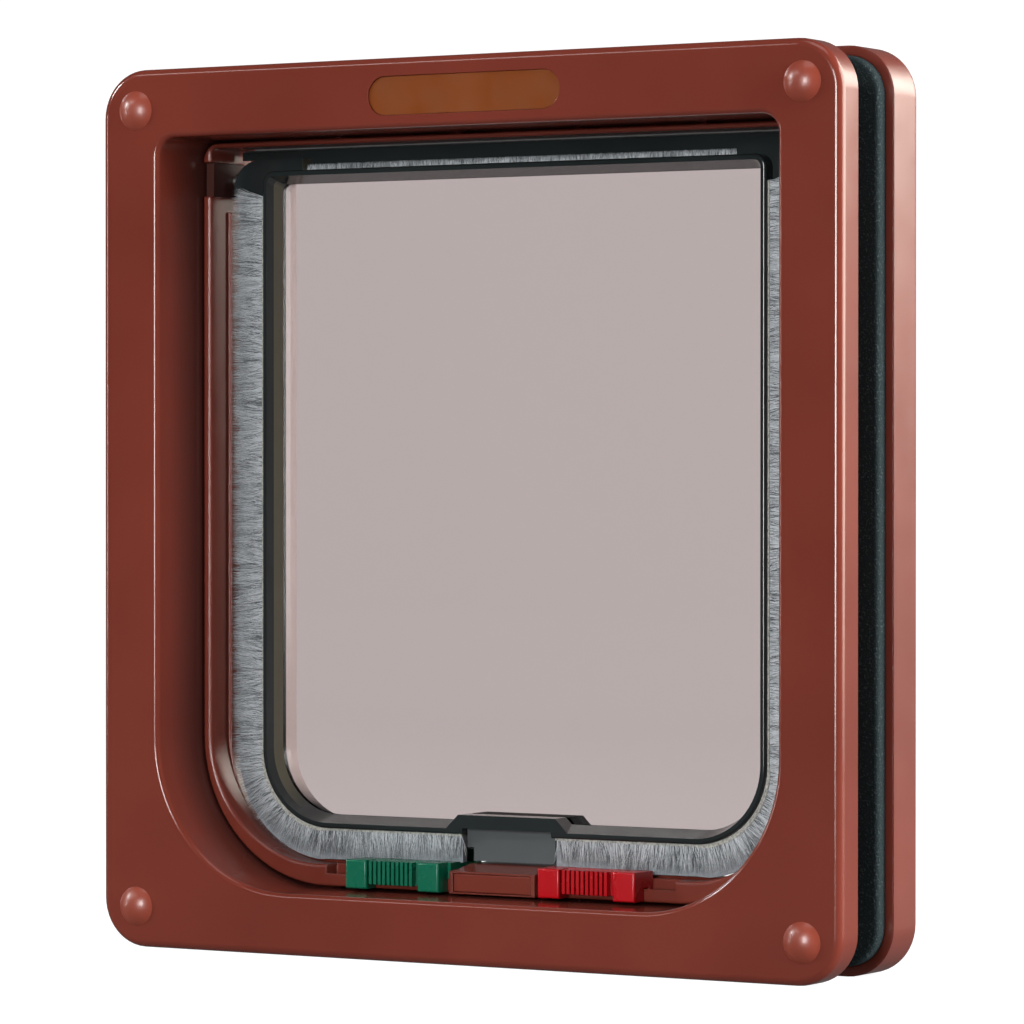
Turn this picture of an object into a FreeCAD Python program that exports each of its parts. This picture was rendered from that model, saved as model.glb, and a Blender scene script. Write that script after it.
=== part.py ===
"""Four-way cat flap: two moulded frames that clamp a door, and a flap that swings between them.

Millimetres. X runs across the door, Z runs up, and Y runs from the room to the outdoors.
Everything is drawn with Y = 0 at the face of the interior frame and Z = 0 at the lowest edge.
On export the parts are moved so that the origin is the middle of the overall depth.
"""
import FreeCAD
import Part
import math
import os

from FreeCAD import Vector

# Both frames
frame_width = 224.0
frame_height = 236.0
corner_radius = 13.0
edge_round = 2.2
door_gap = 19.9

# Interior frame
side_border = 18.0
low_border = 16.4
high_border = 18.4
face_wall = 2.6
skirt_wall = 2.4
skirt_depth = 9.1
tunnel_low_radius = 40.0
tunnel_high_radius = 5.0
tunnel_wall = 2.0
tunnel_overlap = 6.0
mouth_round = 1.5
rib_wall = 1.6
rib_root = 0.5
rib_setback = 1.0
side_rib_count = 4
end_rib_count = 3

# Badge place
badge_length = 58.1
badge_height = 10.3
badge_offset = 2.1
badge_below_top = 10.0
badge_recess = 1.0
badge_thickness = 0.6
badge_gap = 0.15

# Fixing screws and their caps
screw_inset = 11.0
screw_radius = 2.0
screw_head_radius = 3.7
screw_head_height = 2.6
screw_head_bevel = 0.9
screw_tip_bevel = 0.6
screw_tip_margin = 3.2
screw_tip_room = 0.4
screw_clearance = 0.15
screw_slot_width = 1.0
screw_slot_depth = 1.1
counterbore_depth = 4.6
interior_boss_radius = 6.0
boss_setback = 0.2
exterior_boss_radius = 4.6
thread_clearance = 0.05
cap_radius = 5.25
cap_height = 2.3
cap_spigot_radius = 4.1
cap_spigot_length = 1.6
cap_fit = 0.1

# Exterior frame
flange_depth = 14.0
outer_wall = 2.6
back_wall = 3.0
telescope_gap = 0.6
sleeve_reach = 8.0
sleeve_wall = 2.5
sleeve_outer_round = 0.7
sleeve_inner_bevel = 0.5
ceiling_wall = 1.3
sill_rise = 5.8
aperture_corner_step = 6.0
aperture_high_radius = 1.5
outdoor_bevel = 0.8
ridge_setback = 0.5
ridge_depth = 4.5
ridge_step = 1.1
ridge_rise = 0.6
ridge_corner_step = 3.0
ridge_below_pivot = 8.7
long_rib_count = 5
short_rib_count = 4

# Foam gasket
foam_proud = 3.5
foam_seat = 2.0
foam_width = 11.0
foam_side_gap = 0.05
foam_screw_gap = 0.3
foam_bevel = 0.8

# Flap
pivot_behind_flange = 4.25
pivot_below_ceiling = 8.4
flap_side_gap = 13.7
flap_low_gap = 9.2
rim_above_pivot = 2.0
rim_corner_step = 8.0
rim_high_radius = 3.5
rim_half_depth = 7.85
rim_face = 1.5
rim_side_taper = 1.5
rim_end_taper = 1.9
rim_round = 0.8
pane_thickness = 2.4
pane_setback = 5.8
pane_rebate = 1.0
pane_fit = 0.1
flap_flange_thickness = 4.2
flap_flange_side = 4.0
flap_flange_high = 3.3
ear_side_gap = 1.9
ear_height = 9.8
ear_radius = 8.0
ear_low_radius = 1.2
ear_half_depth = 3.75
crest_half_width = 14.9
crest_rise = 3.7
fin_thickness = 1.6
fin_ceiling_gap = 0.6
fin_ear_gap = 0.2

# Latch block and the two magnets
latch_half_width = 13.5
latch_half_depth = 5.25
latch_gap = 0.7
latch_into_rim = 1.5
latch_fit = 0.15
latch_round = 1.2
latch_catch_wall = 1.6
latch_notch_room = 0.5
flap_magnet_half_width = 9.5
flap_magnet_half_depth = 3.0
flap_magnet_height = 4.0
magnet_fit = 0.1
frame_magnet_half_width = 10.0
frame_magnet_length = 12.0
frame_magnet_height = 3.4

# Magnet housing in the sill
housing_half_width = 13.1
housing_reach = 3.0
housing_rise = 1.5
housing_slope_length = 9.0
housing_behind_pivot = 6.35
housing_front_round = 0.4
housing_top_round = 0.8
housing_wall = 1.6
cover_side_inset = 1.3
cover_end_inset = 0.5
cover_thickness = 1.5
cover_round = 0.4
cover_fit = 0.1

# Lock sliders
slider_length = 29.0
slider_stop_gap = 0.1
slider_proud = 5.2
slider_rise = 2.1
slider_block = 6.5
slider_round = 0.6
slider_rib_count = 10
slider_rib_pitch = 1.4
slider_rib_width = 0.9
slider_rib_recess = 0.5
slider_rib_gap = 0.6
slider_rib_low_step = 1.3
slider_web_setback = 2.6
slider_web_inset = 1.0
slider_fit = 0.2
bar_below_sill = 2.2
bar_step = 0.1
groove_depth = 2.0
lip_thickness = 2.4
leg_thickness = 2.0
lock_side_gap = 0.8
tooth_width = 5.7
tooth_engage = 2.6
tooth_thickness = 2.5
tooth_reach_gap = 0.3
tooth_top_gap = 0.4
lock_travel = 2.0
open_travel = 9.0

# Hinge pins and pivot clips
pin_radius = 1.5
pin_seat = 6.5
pin_tip_bevel = 0.4
pin_fit = 0.05
pin_run_clearance = 0.08
clip_height = 9.3
clip_fit = 0.1
clip_setback = 1.5
clip_behind_pin = 4.0

# Pile brush on the flap
brush_setback = 1.2
brush_tip_gap = 2.4
brush_over_slider = 0.7
brush_corner_step = 2.0
brush_seat_gap = 0.1
brush_end_gap = 0.2
brush_latch_gap = 0.9
brush_tooth_pitch = 3.0
brush_tooth_depth = 1.6
top_brush_inset = 10.7
top_brush_thickness = 2.0
top_brush_rise = 1.95
top_brush_tooth_depth = 0.8

# How far a cutting shape runs past the face that it cuts
overrun = 1.0

# Places that follow: both frames
half_width = frame_width / 2
flange_front = skirt_depth + door_gap
overall_back = flange_front + flange_depth
mid_depth = (overall_back - cap_height) / 2
tunnel_half_width = half_width - side_border
tunnel_bottom = low_border
tunnel_top = frame_height - high_border
sleeve_front = flange_front - sleeve_reach
tunnel_back = sleeve_front + tunnel_overlap
sleeve_half_width = tunnel_half_width - telescope_gap
sleeve_bottom = tunnel_bottom + telescope_gap
sleeve_top = tunnel_top - telescope_gap
aperture_half_width = sleeve_half_width - sleeve_wall
aperture_top = sleeve_top - ceiling_wall
aperture_low_radius = tunnel_low_radius - aperture_corner_step
sill_height = sleeve_bottom + sill_rise
badge_height_up = frame_height - badge_below_top

# Places that follow: the flap and its pivot
pivot_depth = flange_front + pivot_behind_flange
pivot_height = aperture_top - pivot_below_ceiling
ridge_front = flange_front + ridge_setback
ridge_back = ridge_front + ridge_depth
ridge_half_width = aperture_half_width - ridge_step
ridge_bottom = sill_height + ridge_rise
ridge_low_radius = aperture_low_radius - ridge_corner_step
ridge_top = pivot_height - ridge_below_pivot
rim_half_width = aperture_half_width - flap_side_gap
rim_bottom = sill_height + flap_low_gap
rim_top = pivot_height + rim_above_pivot
rim_front = pivot_depth - rim_half_depth
rim_back = pivot_depth + rim_half_depth
pane_front = rim_front + pane_setback
pane_back = pane_front + pane_thickness
flap_flange_front = pane_back - flap_flange_thickness
ear_half_width = aperture_half_width - ear_side_gap
ear_bottom = rim_top + flap_flange_high - ear_height

# Places that follow: latch, magnets and locks
housing_front = sleeve_front - housing_reach
housing_top = sill_height + housing_rise
housing_back = pivot_depth + housing_behind_pivot
cover_half_width = housing_half_width - cover_side_inset
latch_bottom = housing_top + latch_gap
latch_top = rim_bottom + latch_into_rim
latch_front = pivot_depth - latch_half_depth
latch_back = pivot_depth + latch_half_depth
tooth_top = latch_bottom + tooth_engage
flap_flange_bottom = tooth_top + tooth_top_gap
tooth_inner = latch_half_width + lock_side_gap
tooth_outer = tooth_inner + tooth_width
slider_inner = housing_half_width + lock_travel + slider_stop_gap
slider_outer = slider_inner + slider_length
slider_front = sleeve_front - slider_proud
slider_bottom = sleeve_bottom + slider_fit
slider_top = sill_height + slider_rise
bar_bottom = sill_height - bar_below_sill
bar_top = slider_top - bar_step
bar_floor = bar_bottom - slider_fit
lip_back = sleeve_front + lip_thickness
groove_back = lip_back + leg_thickness + 2 * slider_fit
slot_inner = tooth_inner - lock_travel - slider_fit
slot_outer = slider_outer + open_travel + slider_fit
trench_outer = tooth_outer + open_travel + slider_fit

# Places that follow: the brush
brush_front = rim_front + brush_setback
brush_back = flap_flange_front - brush_seat_gap
brush_tips = aperture_half_width - brush_tip_gap
brush_bottom = slider_top + brush_over_slider
brush_low_radius = ridge_low_radius - brush_corner_step
rim_low_radius = brush_low_radius - rim_corner_step
brush_top = ear_bottom - brush_end_gap
brush_start = latch_half_width + brush_latch_gap
top_brush_half_width = rim_half_width - top_brush_inset

screw_places = {
    "upper_left": (-half_width + screw_inset, frame_height - screw_inset),
    "upper_right": (half_width - screw_inset, frame_height - screw_inset),
    "lower_left": (-half_width + screw_inset, screw_inset),
    "lower_right": (half_width - screw_inset, screw_inset),
}


def rounded_wire(corners, place):
    """A closed wire through (u, v, radius) corners; place turns (u, v) into a point in space."""
    flat = [Vector(u, v, 0) for u, v, _ in corners]
    starts, middles, ends = [], [], []
    for index, (_, _, radius) in enumerate(corners):
        corner = flat[index]
        back = (flat[index - 1] - corner).normalize()
        ahead = (flat[(index + 1) % len(flat)] - corner).normalize()
        half_angle = back.getAngle(ahead) / 2
        inward = (back + ahead).normalize()
        reach = radius / math.tan(half_angle)
        starts.append(corner + back * reach)
        ends.append(corner + ahead * reach)
        middles.append(corner + inward * (radius / math.sin(half_angle) - radius))
    edges = []
    for index, (_, _, radius) in enumerate(corners):
        if radius > 0:
            arc = [place(point.x, point.y) for point in (starts[index], middles[index], ends[index])]
            edges.append(Part.Arc(*arc).toShape())
        after = starts[(index + 1) % len(corners)]
        if (after - ends[index]).Length > 1e-6:
            line = place(ends[index].x, ends[index].y), place(after.x, after.y)
            edges.append(Part.LineSegment(*line).toShape())
    return Part.Wire(edges)


def front_wire(corners, depth):
    """A wire in the plane of the door, at one depth."""
    return rounded_wire(corners, lambda x, z: Vector(x, depth, z))


def front_prism(corners, front, back):
    """A solid with one outline in the plane of the door, from one depth to another."""
    return Part.Face(front_wire(corners, front)).extrude(Vector(0, back - front, 0))


def side_prism(corners, low_x, high_x):
    """A solid with one outline in the plane of Y and Z, from one X to another."""
    wire = rounded_wire(corners, lambda y, z: Vector(low_x, y, z))
    return Part.Face(wire).extrude(Vector(high_x - low_x, 0, 0))


def window(half, bottom, top, low_radius, high_radius):
    """The corners of an upright opening or panel, centred on X = 0."""
    return [
        (-half, bottom, low_radius),
        (half, bottom, low_radius),
        (half, top, high_radius),
        (-half, top, high_radius),
    ]


def block(low_x, high_x, front, back, bottom, top):
    """A plain block between two X, two Y and two Z places."""
    return Part.makeBox(high_x - low_x, back - front, top - bottom, Vector(low_x, front, bottom))


def rod(x, z, radius, front, back):
    """A round bar along Y."""
    return Part.makeCylinder(radius, back - front, Vector(x, front, z), Vector(0, 1, 0))


def edges_at_depth(shape, depth, keep=lambda box: True):
    """The edges that lie wholly at one depth, and whose box passes a test."""
    found = []
    for edge in shape.Edges:
        box = edge.BoundBox
        if abs(box.YMin - depth) < 1e-4 and abs(box.YMax - depth) < 1e-4 and keep(box):
            found.append(edge)
    return found


def frame_outline(inset=0.0):
    """The outline that both frames share, moved inwards by an inset."""
    radius = max(corner_radius - inset, 0.5)
    return window(half_width - inset, inset, frame_height - inset, radius, radius)


def tunnel_outline(outset=0.0):
    """The outline of the tunnel through the interior frame, moved outwards."""
    return window(
        tunnel_half_width + outset,
        tunnel_bottom - outset,
        tunnel_top + outset,
        tunnel_low_radius + outset,
        tunnel_high_radius + outset,
    )


def sleeve_outline():
    """The outside of the exterior frame's sleeve, which slides inside the tunnel."""
    low_radius = tunnel_low_radius - telescope_gap
    high_radius = tunnel_high_radius - telescope_gap
    return window(sleeve_half_width, sleeve_bottom, sleeve_top, low_radius, high_radius)


def interior_frame():
    """The room-side moulding: a dished face, a skirt, a tunnel, ribs and four screw bosses."""
    body = front_prism(frame_outline(), 0, skirt_depth)
    body = body.makeFillet(edge_round, edges_at_depth(body, 0))
    body = body.fuse(front_prism(tunnel_outline(tunnel_wall), 0, tunnel_back))
    hollow = front_prism(frame_outline(skirt_wall), face_wall, skirt_depth)
    hollow = hollow.cut(front_prism(tunnel_outline(tunnel_wall), face_wall, skirt_depth))
    body = body.cut(hollow).cut(front_prism(tunnel_outline(), 0, tunnel_back))
    mouth = edges_at_depth(body, 0, lambda box: inside_tunnel(box, 0))
    body = body.makeFillet(mouth_round, mouth)
    body = body.fuse(interior_ribs() + interior_bosses())
    body = body.cut(badge_shape(-overrun, badge_recess, 0))
    return body.cut(interior_screw_holes()).removeSplitter()


def inside_tunnel(box, outset):
    """True for an edge that lies within the outline of the tunnel."""
    reach = tunnel_half_width + outset + 0.01
    low = tunnel_bottom - outset - 0.01
    high = tunnel_top + outset + 0.01
    return box.XMin > -reach and box.XMax < reach and box.ZMin > low and box.ZMax < high


def spread(count, low, high):
    """Evenly spaced places between two limits, leaving the limits free."""
    step = (high - low) / (count + 1)
    return [low + step * (index + 1) for index in range(count)]


def interior_ribs():
    """The thin stiffeners between the skirt and the tunnel."""
    ribs = []
    skirt_side = half_width - skirt_wall / 2
    tunnel_side = tunnel_half_width + tunnel_wall / 2
    for z in spread(side_rib_count, tunnel_bottom, tunnel_top):
        for low_x, high_x in ((-skirt_side, -tunnel_side), (tunnel_side, skirt_side)):
            ribs.append(rib(low_x, high_x, z - rib_wall / 2, z + rib_wall / 2))
    low_end = (skirt_wall / 2, tunnel_bottom - tunnel_wall / 2)
    for x in spread(end_rib_count, -tunnel_half_width, tunnel_half_width):
        ribs.append(rib(x - rib_wall / 2, x + rib_wall / 2, *low_end))
    high_end = (tunnel_top + tunnel_wall / 2, frame_height - skirt_wall / 2)
    for side in (-1, 1):
        x = badge_offset + side * badge_length
        ribs.append(rib(x - rib_wall / 2, x + rib_wall / 2, *high_end))
    return ribs


def rib(low_x, high_x, bottom, top):
    """One stiffener, from the back of the face to just below the edge of the skirt."""
    return block(low_x, high_x, face_wall - rib_root, skirt_depth - rib_setback, bottom, top)


def interior_bosses():
    """The four round bosses that the screws pull on."""
    front = face_wall - rib_root
    back = skirt_depth - boss_setback
    return [rod(x, z, interior_boss_radius, front, back) for x, z in screw_places.values()]


def interior_screw_holes():
    """A counterbore and a clearance hole at each boss."""
    holes = []
    for x, z in screw_places.values():
        holes.append(rod(x, z, cap_spigot_radius + cap_fit, -overrun, counterbore_depth))
        holes.append(rod(x, z, screw_radius + screw_clearance, 0, skirt_depth + overrun))
    return holes


def badge_shape(front, back, shrink):
    """The long round-ended shape of the badge and of its recess."""
    half_length = badge_length / 2 - shrink
    half_height = badge_height / 2 - shrink
    radius = half_height * 0.999
    low, high = badge_height_up - half_height, badge_height_up + half_height
    corners = [
        (badge_offset - half_length, low, radius),
        (badge_offset + half_length, low, radius),
        (badge_offset + half_length, high, radius),
        (badge_offset - half_length, high, radius),
    ]
    return front_prism(corners, front, back)


def badge_plate():
    """The bare plate on the floor of the recess."""
    return badge_shape(badge_recess - badge_thickness, badge_recess, badge_gap)


def screw_cap(x, z):
    """A domed cap with a spigot that plugs the counterbore."""
    dome_radius = (cap_radius ** 2 + cap_height ** 2) / (2 * cap_height)
    dome = Part.makeSphere(dome_radius, Vector(x, dome_radius - cap_height, z))
    dome = dome.common(rod(x, z, cap_radius, -cap_height, 0))
    spigot = rod(x, z, cap_spigot_radius, 0, cap_spigot_length)
    return dome.fuse(spigot).removeSplitter()


def fixing_screw(x, z):
    """A pan-head machine screw through the door gap, with a driver slot."""
    seat = counterbore_depth
    front = seat - screw_head_height
    head = rod(x, z, screw_head_radius, front, seat)
    head = head.makeChamfer(screw_head_bevel, edges_at_depth(head, front))
    tip = overall_back - screw_tip_margin
    shank = rod(x, z, screw_radius, seat, tip)
    shank = shank.makeChamfer(screw_tip_bevel, edges_at_depth(shank, tip))
    half = screw_slot_width / 2
    reach = screw_head_radius + overrun
    slot = block(x - reach, x + reach, front - overrun, front + screw_slot_depth, z - half, z + half)
    return head.fuse(shank).cut(slot).removeSplitter()


def exterior_frame():
    """The outdoor moulding: a flange with a channel for the foam, and the sleeve with its sill."""
    body = front_prism(frame_outline(), flange_front, overall_back)
    body = body.makeFillet(edge_round, edges_at_depth(body, overall_back))
    front = flange_front - overrun
    channel = front_prism(frame_outline(outer_wall), front, overall_back - back_wall)
    body = body.cut(channel.cut(front_prism(sleeve_outline(), front, overall_back)))
    body = body.fuse(front_prism(sleeve_outline(), sleeve_front, overall_back))
    body = body.cut(aperture())
    outer = edges_at_depth(body, sleeve_front, lambda box: not inside_aperture(box))
    body = body.makeFillet(sleeve_outer_round, outer)
    inner = edges_at_depth(body, sleeve_front, inside_aperture)
    body = body.makeChamfer(sleeve_inner_bevel, inner)
    outdoor_mouth = edges_at_depth(body, overall_back, inside_aperture)
    body = body.makeChamfer(outdoor_bevel, outdoor_mouth)
    body = body.fuse(exterior_ribs() + exterior_bosses() + [magnet_housing()])
    cuts = exterior_screw_holes() + pivot_slots() + slider_ways() + [magnet_pocket()]
    return body.cut(cuts).removeSplitter()


def aperture():
    """The way through the sleeve, with the draught ridge left standing round it."""
    wide = window(
        aperture_half_width, sill_height, aperture_top, aperture_low_radius, aperture_high_radius
    )
    narrow = window(
        ridge_half_width, ridge_bottom, aperture_top, ridge_low_radius, aperture_high_radius
    )
    cut = front_prism(wide, sleeve_front - overrun, ridge_front)
    cut = cut.fuse(front_prism(narrow, ridge_front, ridge_back))
    cut = cut.fuse(front_prism(wide, ridge_back, overall_back + overrun))
    above = front_prism(wide, ridge_front, ridge_back)
    reach = aperture_half_width + overrun
    return cut.fuse(above.common(block(-reach, reach, ridge_front, ridge_back, ridge_top, frame_height)))


def inside_aperture(box):
    """True for an edge that lies within the outline of the aperture."""
    reach = aperture_half_width + 0.01
    return box.XMax < reach and box.XMin > -reach and box.ZMin > sill_height - 0.01


def exterior_ribs():
    """Stiffeners across the channel; the foam seats on their front edges."""
    front = flange_front + foam_seat
    back = overall_back - back_wall / 2
    ribs = []
    outer = half_width - outer_wall / 2
    inner = sleeve_half_width - sleeve_wall / 2
    for z in spread(long_rib_count, sleeve_bottom, sleeve_top):
        for low_x, high_x in ((-outer, -inner), (inner, outer)):
            ribs.append(block(low_x, high_x, front, back, z - rib_wall / 2, z + rib_wall / 2))
    low_end = (outer_wall / 2, sleeve_bottom + sill_rise / 2)
    high_end = (sleeve_top - ceiling_wall / 2, frame_height - outer_wall / 2)
    for x in spread(short_rib_count, -sleeve_half_width, sleeve_half_width):
        for bottom, top in (low_end, high_end):
            ribs.append(block(x - rib_wall / 2, x + rib_wall / 2, front, back, bottom, top))
    return ribs


def exterior_bosses():
    """The posts that the screws bite into."""
    front = flange_front + foam_seat
    back = overall_back - back_wall / 2
    return [rod(x, z, exterior_boss_radius, front, back) for x, z in screw_places.values()]


def exterior_screw_holes():
    """Blind holes in the posts, a little deeper than the screws reach."""
    front = flange_front - overrun
    back = overall_back - screw_tip_margin + screw_tip_room
    radius = screw_radius + thread_clearance
    return [rod(x, z, radius, front, back) for x, z in screw_places.values()]


def pivot_slots():
    """Notches in the sides of the sleeve, open to the room, that the pivot clips slide into."""
    slots = []
    for side in (-1, 1):
        near, far = aperture_half_width - overrun, sleeve_half_width + overrun
        bottom = pivot_height - clip_height / 2
        front = sleeve_front - overrun
        back = pivot_depth + clip_behind_pin + clip_fit
        slots.append(across_block(side, near, far, front, back, bottom, bottom + clip_height))
    return slots


def magnet_housing():
    """The block in the middle of the sill, with a sloping top."""
    corners = [
        (housing_front, sleeve_bottom, 0),
        (housing_front, sill_height, housing_front_round),
        (housing_front + housing_slope_length, housing_top, housing_top_round),
        (housing_back, housing_top, housing_top_round),
        (housing_back, sleeve_bottom, 0),
    ]
    return side_prism(corners, -housing_half_width, housing_half_width)


def magnet_floor():
    """The height of the floor that the frame magnet lies on."""
    return sleeve_bottom + housing_wall


def magnet_pocket():
    """The pocket for the frame magnet and the rebate for its cover."""
    front = housing_front - overrun
    half = frame_magnet_half_width + magnet_fit
    back = pivot_depth + frame_magnet_length / 2 + magnet_fit
    top = magnet_floor() + frame_magnet_height + 2 * magnet_fit
    pocket = block(-half, half, front, back, magnet_floor(), top)
    half = cover_half_width + cover_fit
    low = sleeve_bottom + cover_end_inset - cover_fit
    high = sill_height - cover_end_inset + cover_fit
    return pocket.fuse(block(-half, half, front, housing_front + cover_thickness, low, high))


def slider_ways():
    """The gap in the lip, the groove behind it and the trench for the arm, on both sides."""
    above = tooth_top + overrun
    front = sleeve_front - 2 * slider_fit
    ways = []
    for side in (-1, 1):
        ways.append(across_block(side, slot_inner, slot_outer, front, groove_back, bar_floor, above))
        groove_floor = bar_floor - groove_depth
        ways.append(across_block(side, slot_inner, slot_outer, lip_back, groove_back, groove_floor, above))
        back = max(tooth_span(side)) + slider_fit
        ways.append(across_block(side, slot_inner, trench_outer, lip_back, back, bar_floor, above))
    return ways


def tooth_span(side):
    """Front and back of a lock tooth: the left one blocks the way in, the right one the way out."""
    if side < 0:
        back = latch_back - latch_catch_wall - tooth_reach_gap
        return back - tooth_thickness, back
    front = latch_front + latch_catch_wall + tooth_reach_gap
    return front, front + tooth_thickness


def foam_gasket():
    """The soft ring that the exterior frame presses on the door."""
    outer = outer_wall + foam_side_gap
    front = flange_front - foam_proud
    back = flange_front + foam_seat - foam_side_gap
    ring = front_prism(frame_outline(outer), front, back)
    ring = ring.makeChamfer(foam_bevel, edges_at_depth(ring, front))
    front, back = front - overrun, back + overrun
    ring = ring.cut(front_prism(frame_outline(outer + foam_width), front, back))
    radius = screw_radius + foam_screw_gap
    return ring.cut([rod(x, z, radius, front, back) for x, z in screw_places.values()])


def magnet_cover():
    """The small plate on the front of the housing, with a spigot that holds the magnet back."""
    plate = block(
        -cover_half_width, cover_half_width, housing_front, housing_front + cover_thickness - cover_fit,
        sleeve_bottom + cover_end_inset, sill_height - cover_end_inset,
    )
    plate = plate.makeFillet(cover_round, edges_at_depth(plate, housing_front))
    spigot_back = pivot_depth - frame_magnet_length / 2 - magnet_fit
    spigot = block(
        -frame_magnet_half_width, frame_magnet_half_width, housing_front + cover_thickness / 2, spigot_back,
        magnet_floor() + magnet_fit, magnet_floor() + frame_magnet_height + magnet_fit,
    )
    return plate.fuse(spigot).removeSplitter()


def frame_magnet():
    """The bar magnet under the tip of the flap."""
    half_length = frame_magnet_length / 2
    bottom = magnet_floor() + magnet_fit
    return block(
        -frame_magnet_half_width, frame_magnet_half_width,
        pivot_depth - half_length, pivot_depth + half_length,
        bottom, bottom + frame_magnet_height,
    )


def rim_outline():
    """The outside of the flap's raised rim."""
    return window(rim_half_width, rim_bottom, rim_top, rim_low_radius, rim_high_radius)


def rim_opening(taper):
    """The inside of the rim: 0 gives it at the face, 1 gives it at the pane, where it is smaller."""
    side = rim_face + taper * rim_side_taper
    end = rim_face + taper * rim_end_taper
    return window(
        rim_half_width - side,
        rim_bottom + end,
        rim_top - end,
        rim_low_radius - side,
        rim_high_radius - rim_face,
    )


def pane_outline(shrink):
    """The outline of the pane, or of its rebate, which is wider than the view through it."""
    side = rim_face + rim_side_taper - pane_rebate + shrink
    end = rim_face + rim_end_taper - pane_rebate + shrink
    low_radius = rim_low_radius - side
    high_radius = rim_high_radius - rim_face
    return window(rim_half_width - side, rim_bottom + end, rim_top - end, low_radius, high_radius)


def rim_funnel(face, pane):
    """The space inside the rim, narrowing from the rim's face to the pane."""
    wires = [front_wire(rim_opening(0), face), front_wire(rim_opening(1), pane)]
    return Part.makeLoft(wires, True, True)


def latch_notch():
    """The room that the latch block takes at the bottom of the rim."""
    half = latch_half_width + latch_fit
    return block(-half, half, rim_front - overrun, rim_back + overrun, 0, latch_top + latch_fit)


def crest(front, back):
    """The raised stretch of the rim over the latch block."""
    top = latch_top + crest_rise
    low = rim_bottom + rim_face
    spread_low = crest_half_width + (top - low)
    corners = [
        (-spread_low, low, 0),
        (spread_low, low, 0),
        (crest_half_width, top, 0),
        (-crest_half_width, top, 0),
    ]
    return front_prism(corners, front, back)


def flap_frame():
    """The front moulding of the flap: rim, flange for the brush, and the two hinge ears."""
    body = front_prism(rim_outline(), rim_front, pane_back)
    body = body.makeFillet(rim_round, edges_at_depth(body, rim_front))
    flange = window(
        rim_half_width + flap_flange_side,
        flap_flange_bottom,
        rim_top + flap_flange_high,
        rim_low_radius + flap_flange_side,
        rim_high_radius,
    )
    body = body.fuse(front_prism(flange, flap_flange_front, pane_back))
    body = body.fuse([hinge_ear(side) for side in (-1, 1)])
    body = body.cut(rim_funnel(rim_front, pane_front))
    body = body.cut(front_prism(pane_outline(0), pane_front, rim_back))
    body = body.fuse(crest(rim_front, pane_front))
    body = body.cut(top_brush_seat())
    return body.cut([latch_notch()] + [pin_bore(side) for side in (-1, 1)]).removeSplitter()


def top_brush_seat():
    """The long gap in the top of the flange that the top brush stands in."""
    half = top_brush_half_width + brush_seat_gap
    front, back = flap_flange_front - overrun, pane_back + overrun
    return block(-half, half, front, back, rim_top, aperture_top)


def hinge_ear(side):
    """The thick corner of the flange that a hinge pin is pressed into."""
    top = rim_top + flap_flange_high
    bottom = ear_bottom
    near = rim_half_width + pane_fit
    corners = [
        (near, bottom, 0),
        (ear_half_width, bottom, ear_low_radius),
        (ear_half_width, top, ear_radius),
        (near, top, 0),
    ]
    if side < 0:
        corners = [(-x, z, radius) for x, z, radius in reversed(corners)]
    return front_prism(corners, pivot_depth - ear_half_depth, pivot_depth + ear_half_depth)


def across(side, near, far, radius):
    """A round bar along X at the pivot, on one side of the flap."""
    start = Vector(side * near, pivot_depth, pivot_height)
    return Part.makeCylinder(radius, far - near, start, Vector(side, 0, 0))


def pin_bore(side):
    """The blind hole for a hinge pin."""
    depth = ear_half_width - pin_seat - pin_fit
    return across(side, depth, ear_half_width + overrun, pin_radius + pin_fit)


def hinge_pin(side):
    """A short steel pin with a chamfered tip."""
    tip = sleeve_half_width - clip_fit
    pin = across(side, ear_half_width - pin_seat, tip, pin_radius)
    rims = [edge for edge in pin.Edges if len(edge.Vertexes) == 1]
    return pin.makeChamfer(pin_tip_bevel, rims)


def pivot_clip(side):
    """The bearing that closes a notch of the sleeve behind the pin."""
    low_x, high_x = sorted((side * aperture_half_width, side * (sleeve_half_width - clip_fit)))
    half = clip_height / 2 - clip_fit
    clip = block(
        low_x, high_x, sleeve_front + clip_setback, pivot_depth + clip_behind_pin,
        pivot_height - half, pivot_height + half,
    )
    near, far = aperture_half_width - overrun, sleeve_half_width + overrun
    bore = across(side, near, far, pin_radius + pin_run_clearance)
    return clip.cut(bore)


def flap_rear_frame():
    """The rear moulding of the flap, which clamps the pane."""
    body = front_prism(rim_outline(), pane_back, rim_back)
    body = body.makeChamfer(rim_round, edges_at_depth(body, rim_back))
    body = body.cut(rim_funnel(rim_back, pane_back))
    body = body.fuse([crest(pane_back, rim_back), lintel_fin()])
    return body.cut(latch_notch()).removeSplitter()


def lintel_fin():
    """The upright fin behind the top brush, which closes the slot under the lintel."""
    back = pane_back + fin_thickness
    top = aperture_top - fin_ceiling_gap
    half = rim_half_width - pane_fit
    over_ears = rim_top + flap_flange_high + fin_ear_gap
    middle = block(-half, half, pane_back, back, rim_top - rim_face / 2, top)
    return middle.fuse(block(-ear_half_width, ear_half_width, pane_back, back, over_ears, top))


def flap_pane():
    """The clear sheet in the rebate between the two mouldings."""
    return front_prism(pane_outline(pane_fit), pane_front + pane_fit / 2, pane_back - pane_fit / 2)


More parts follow.
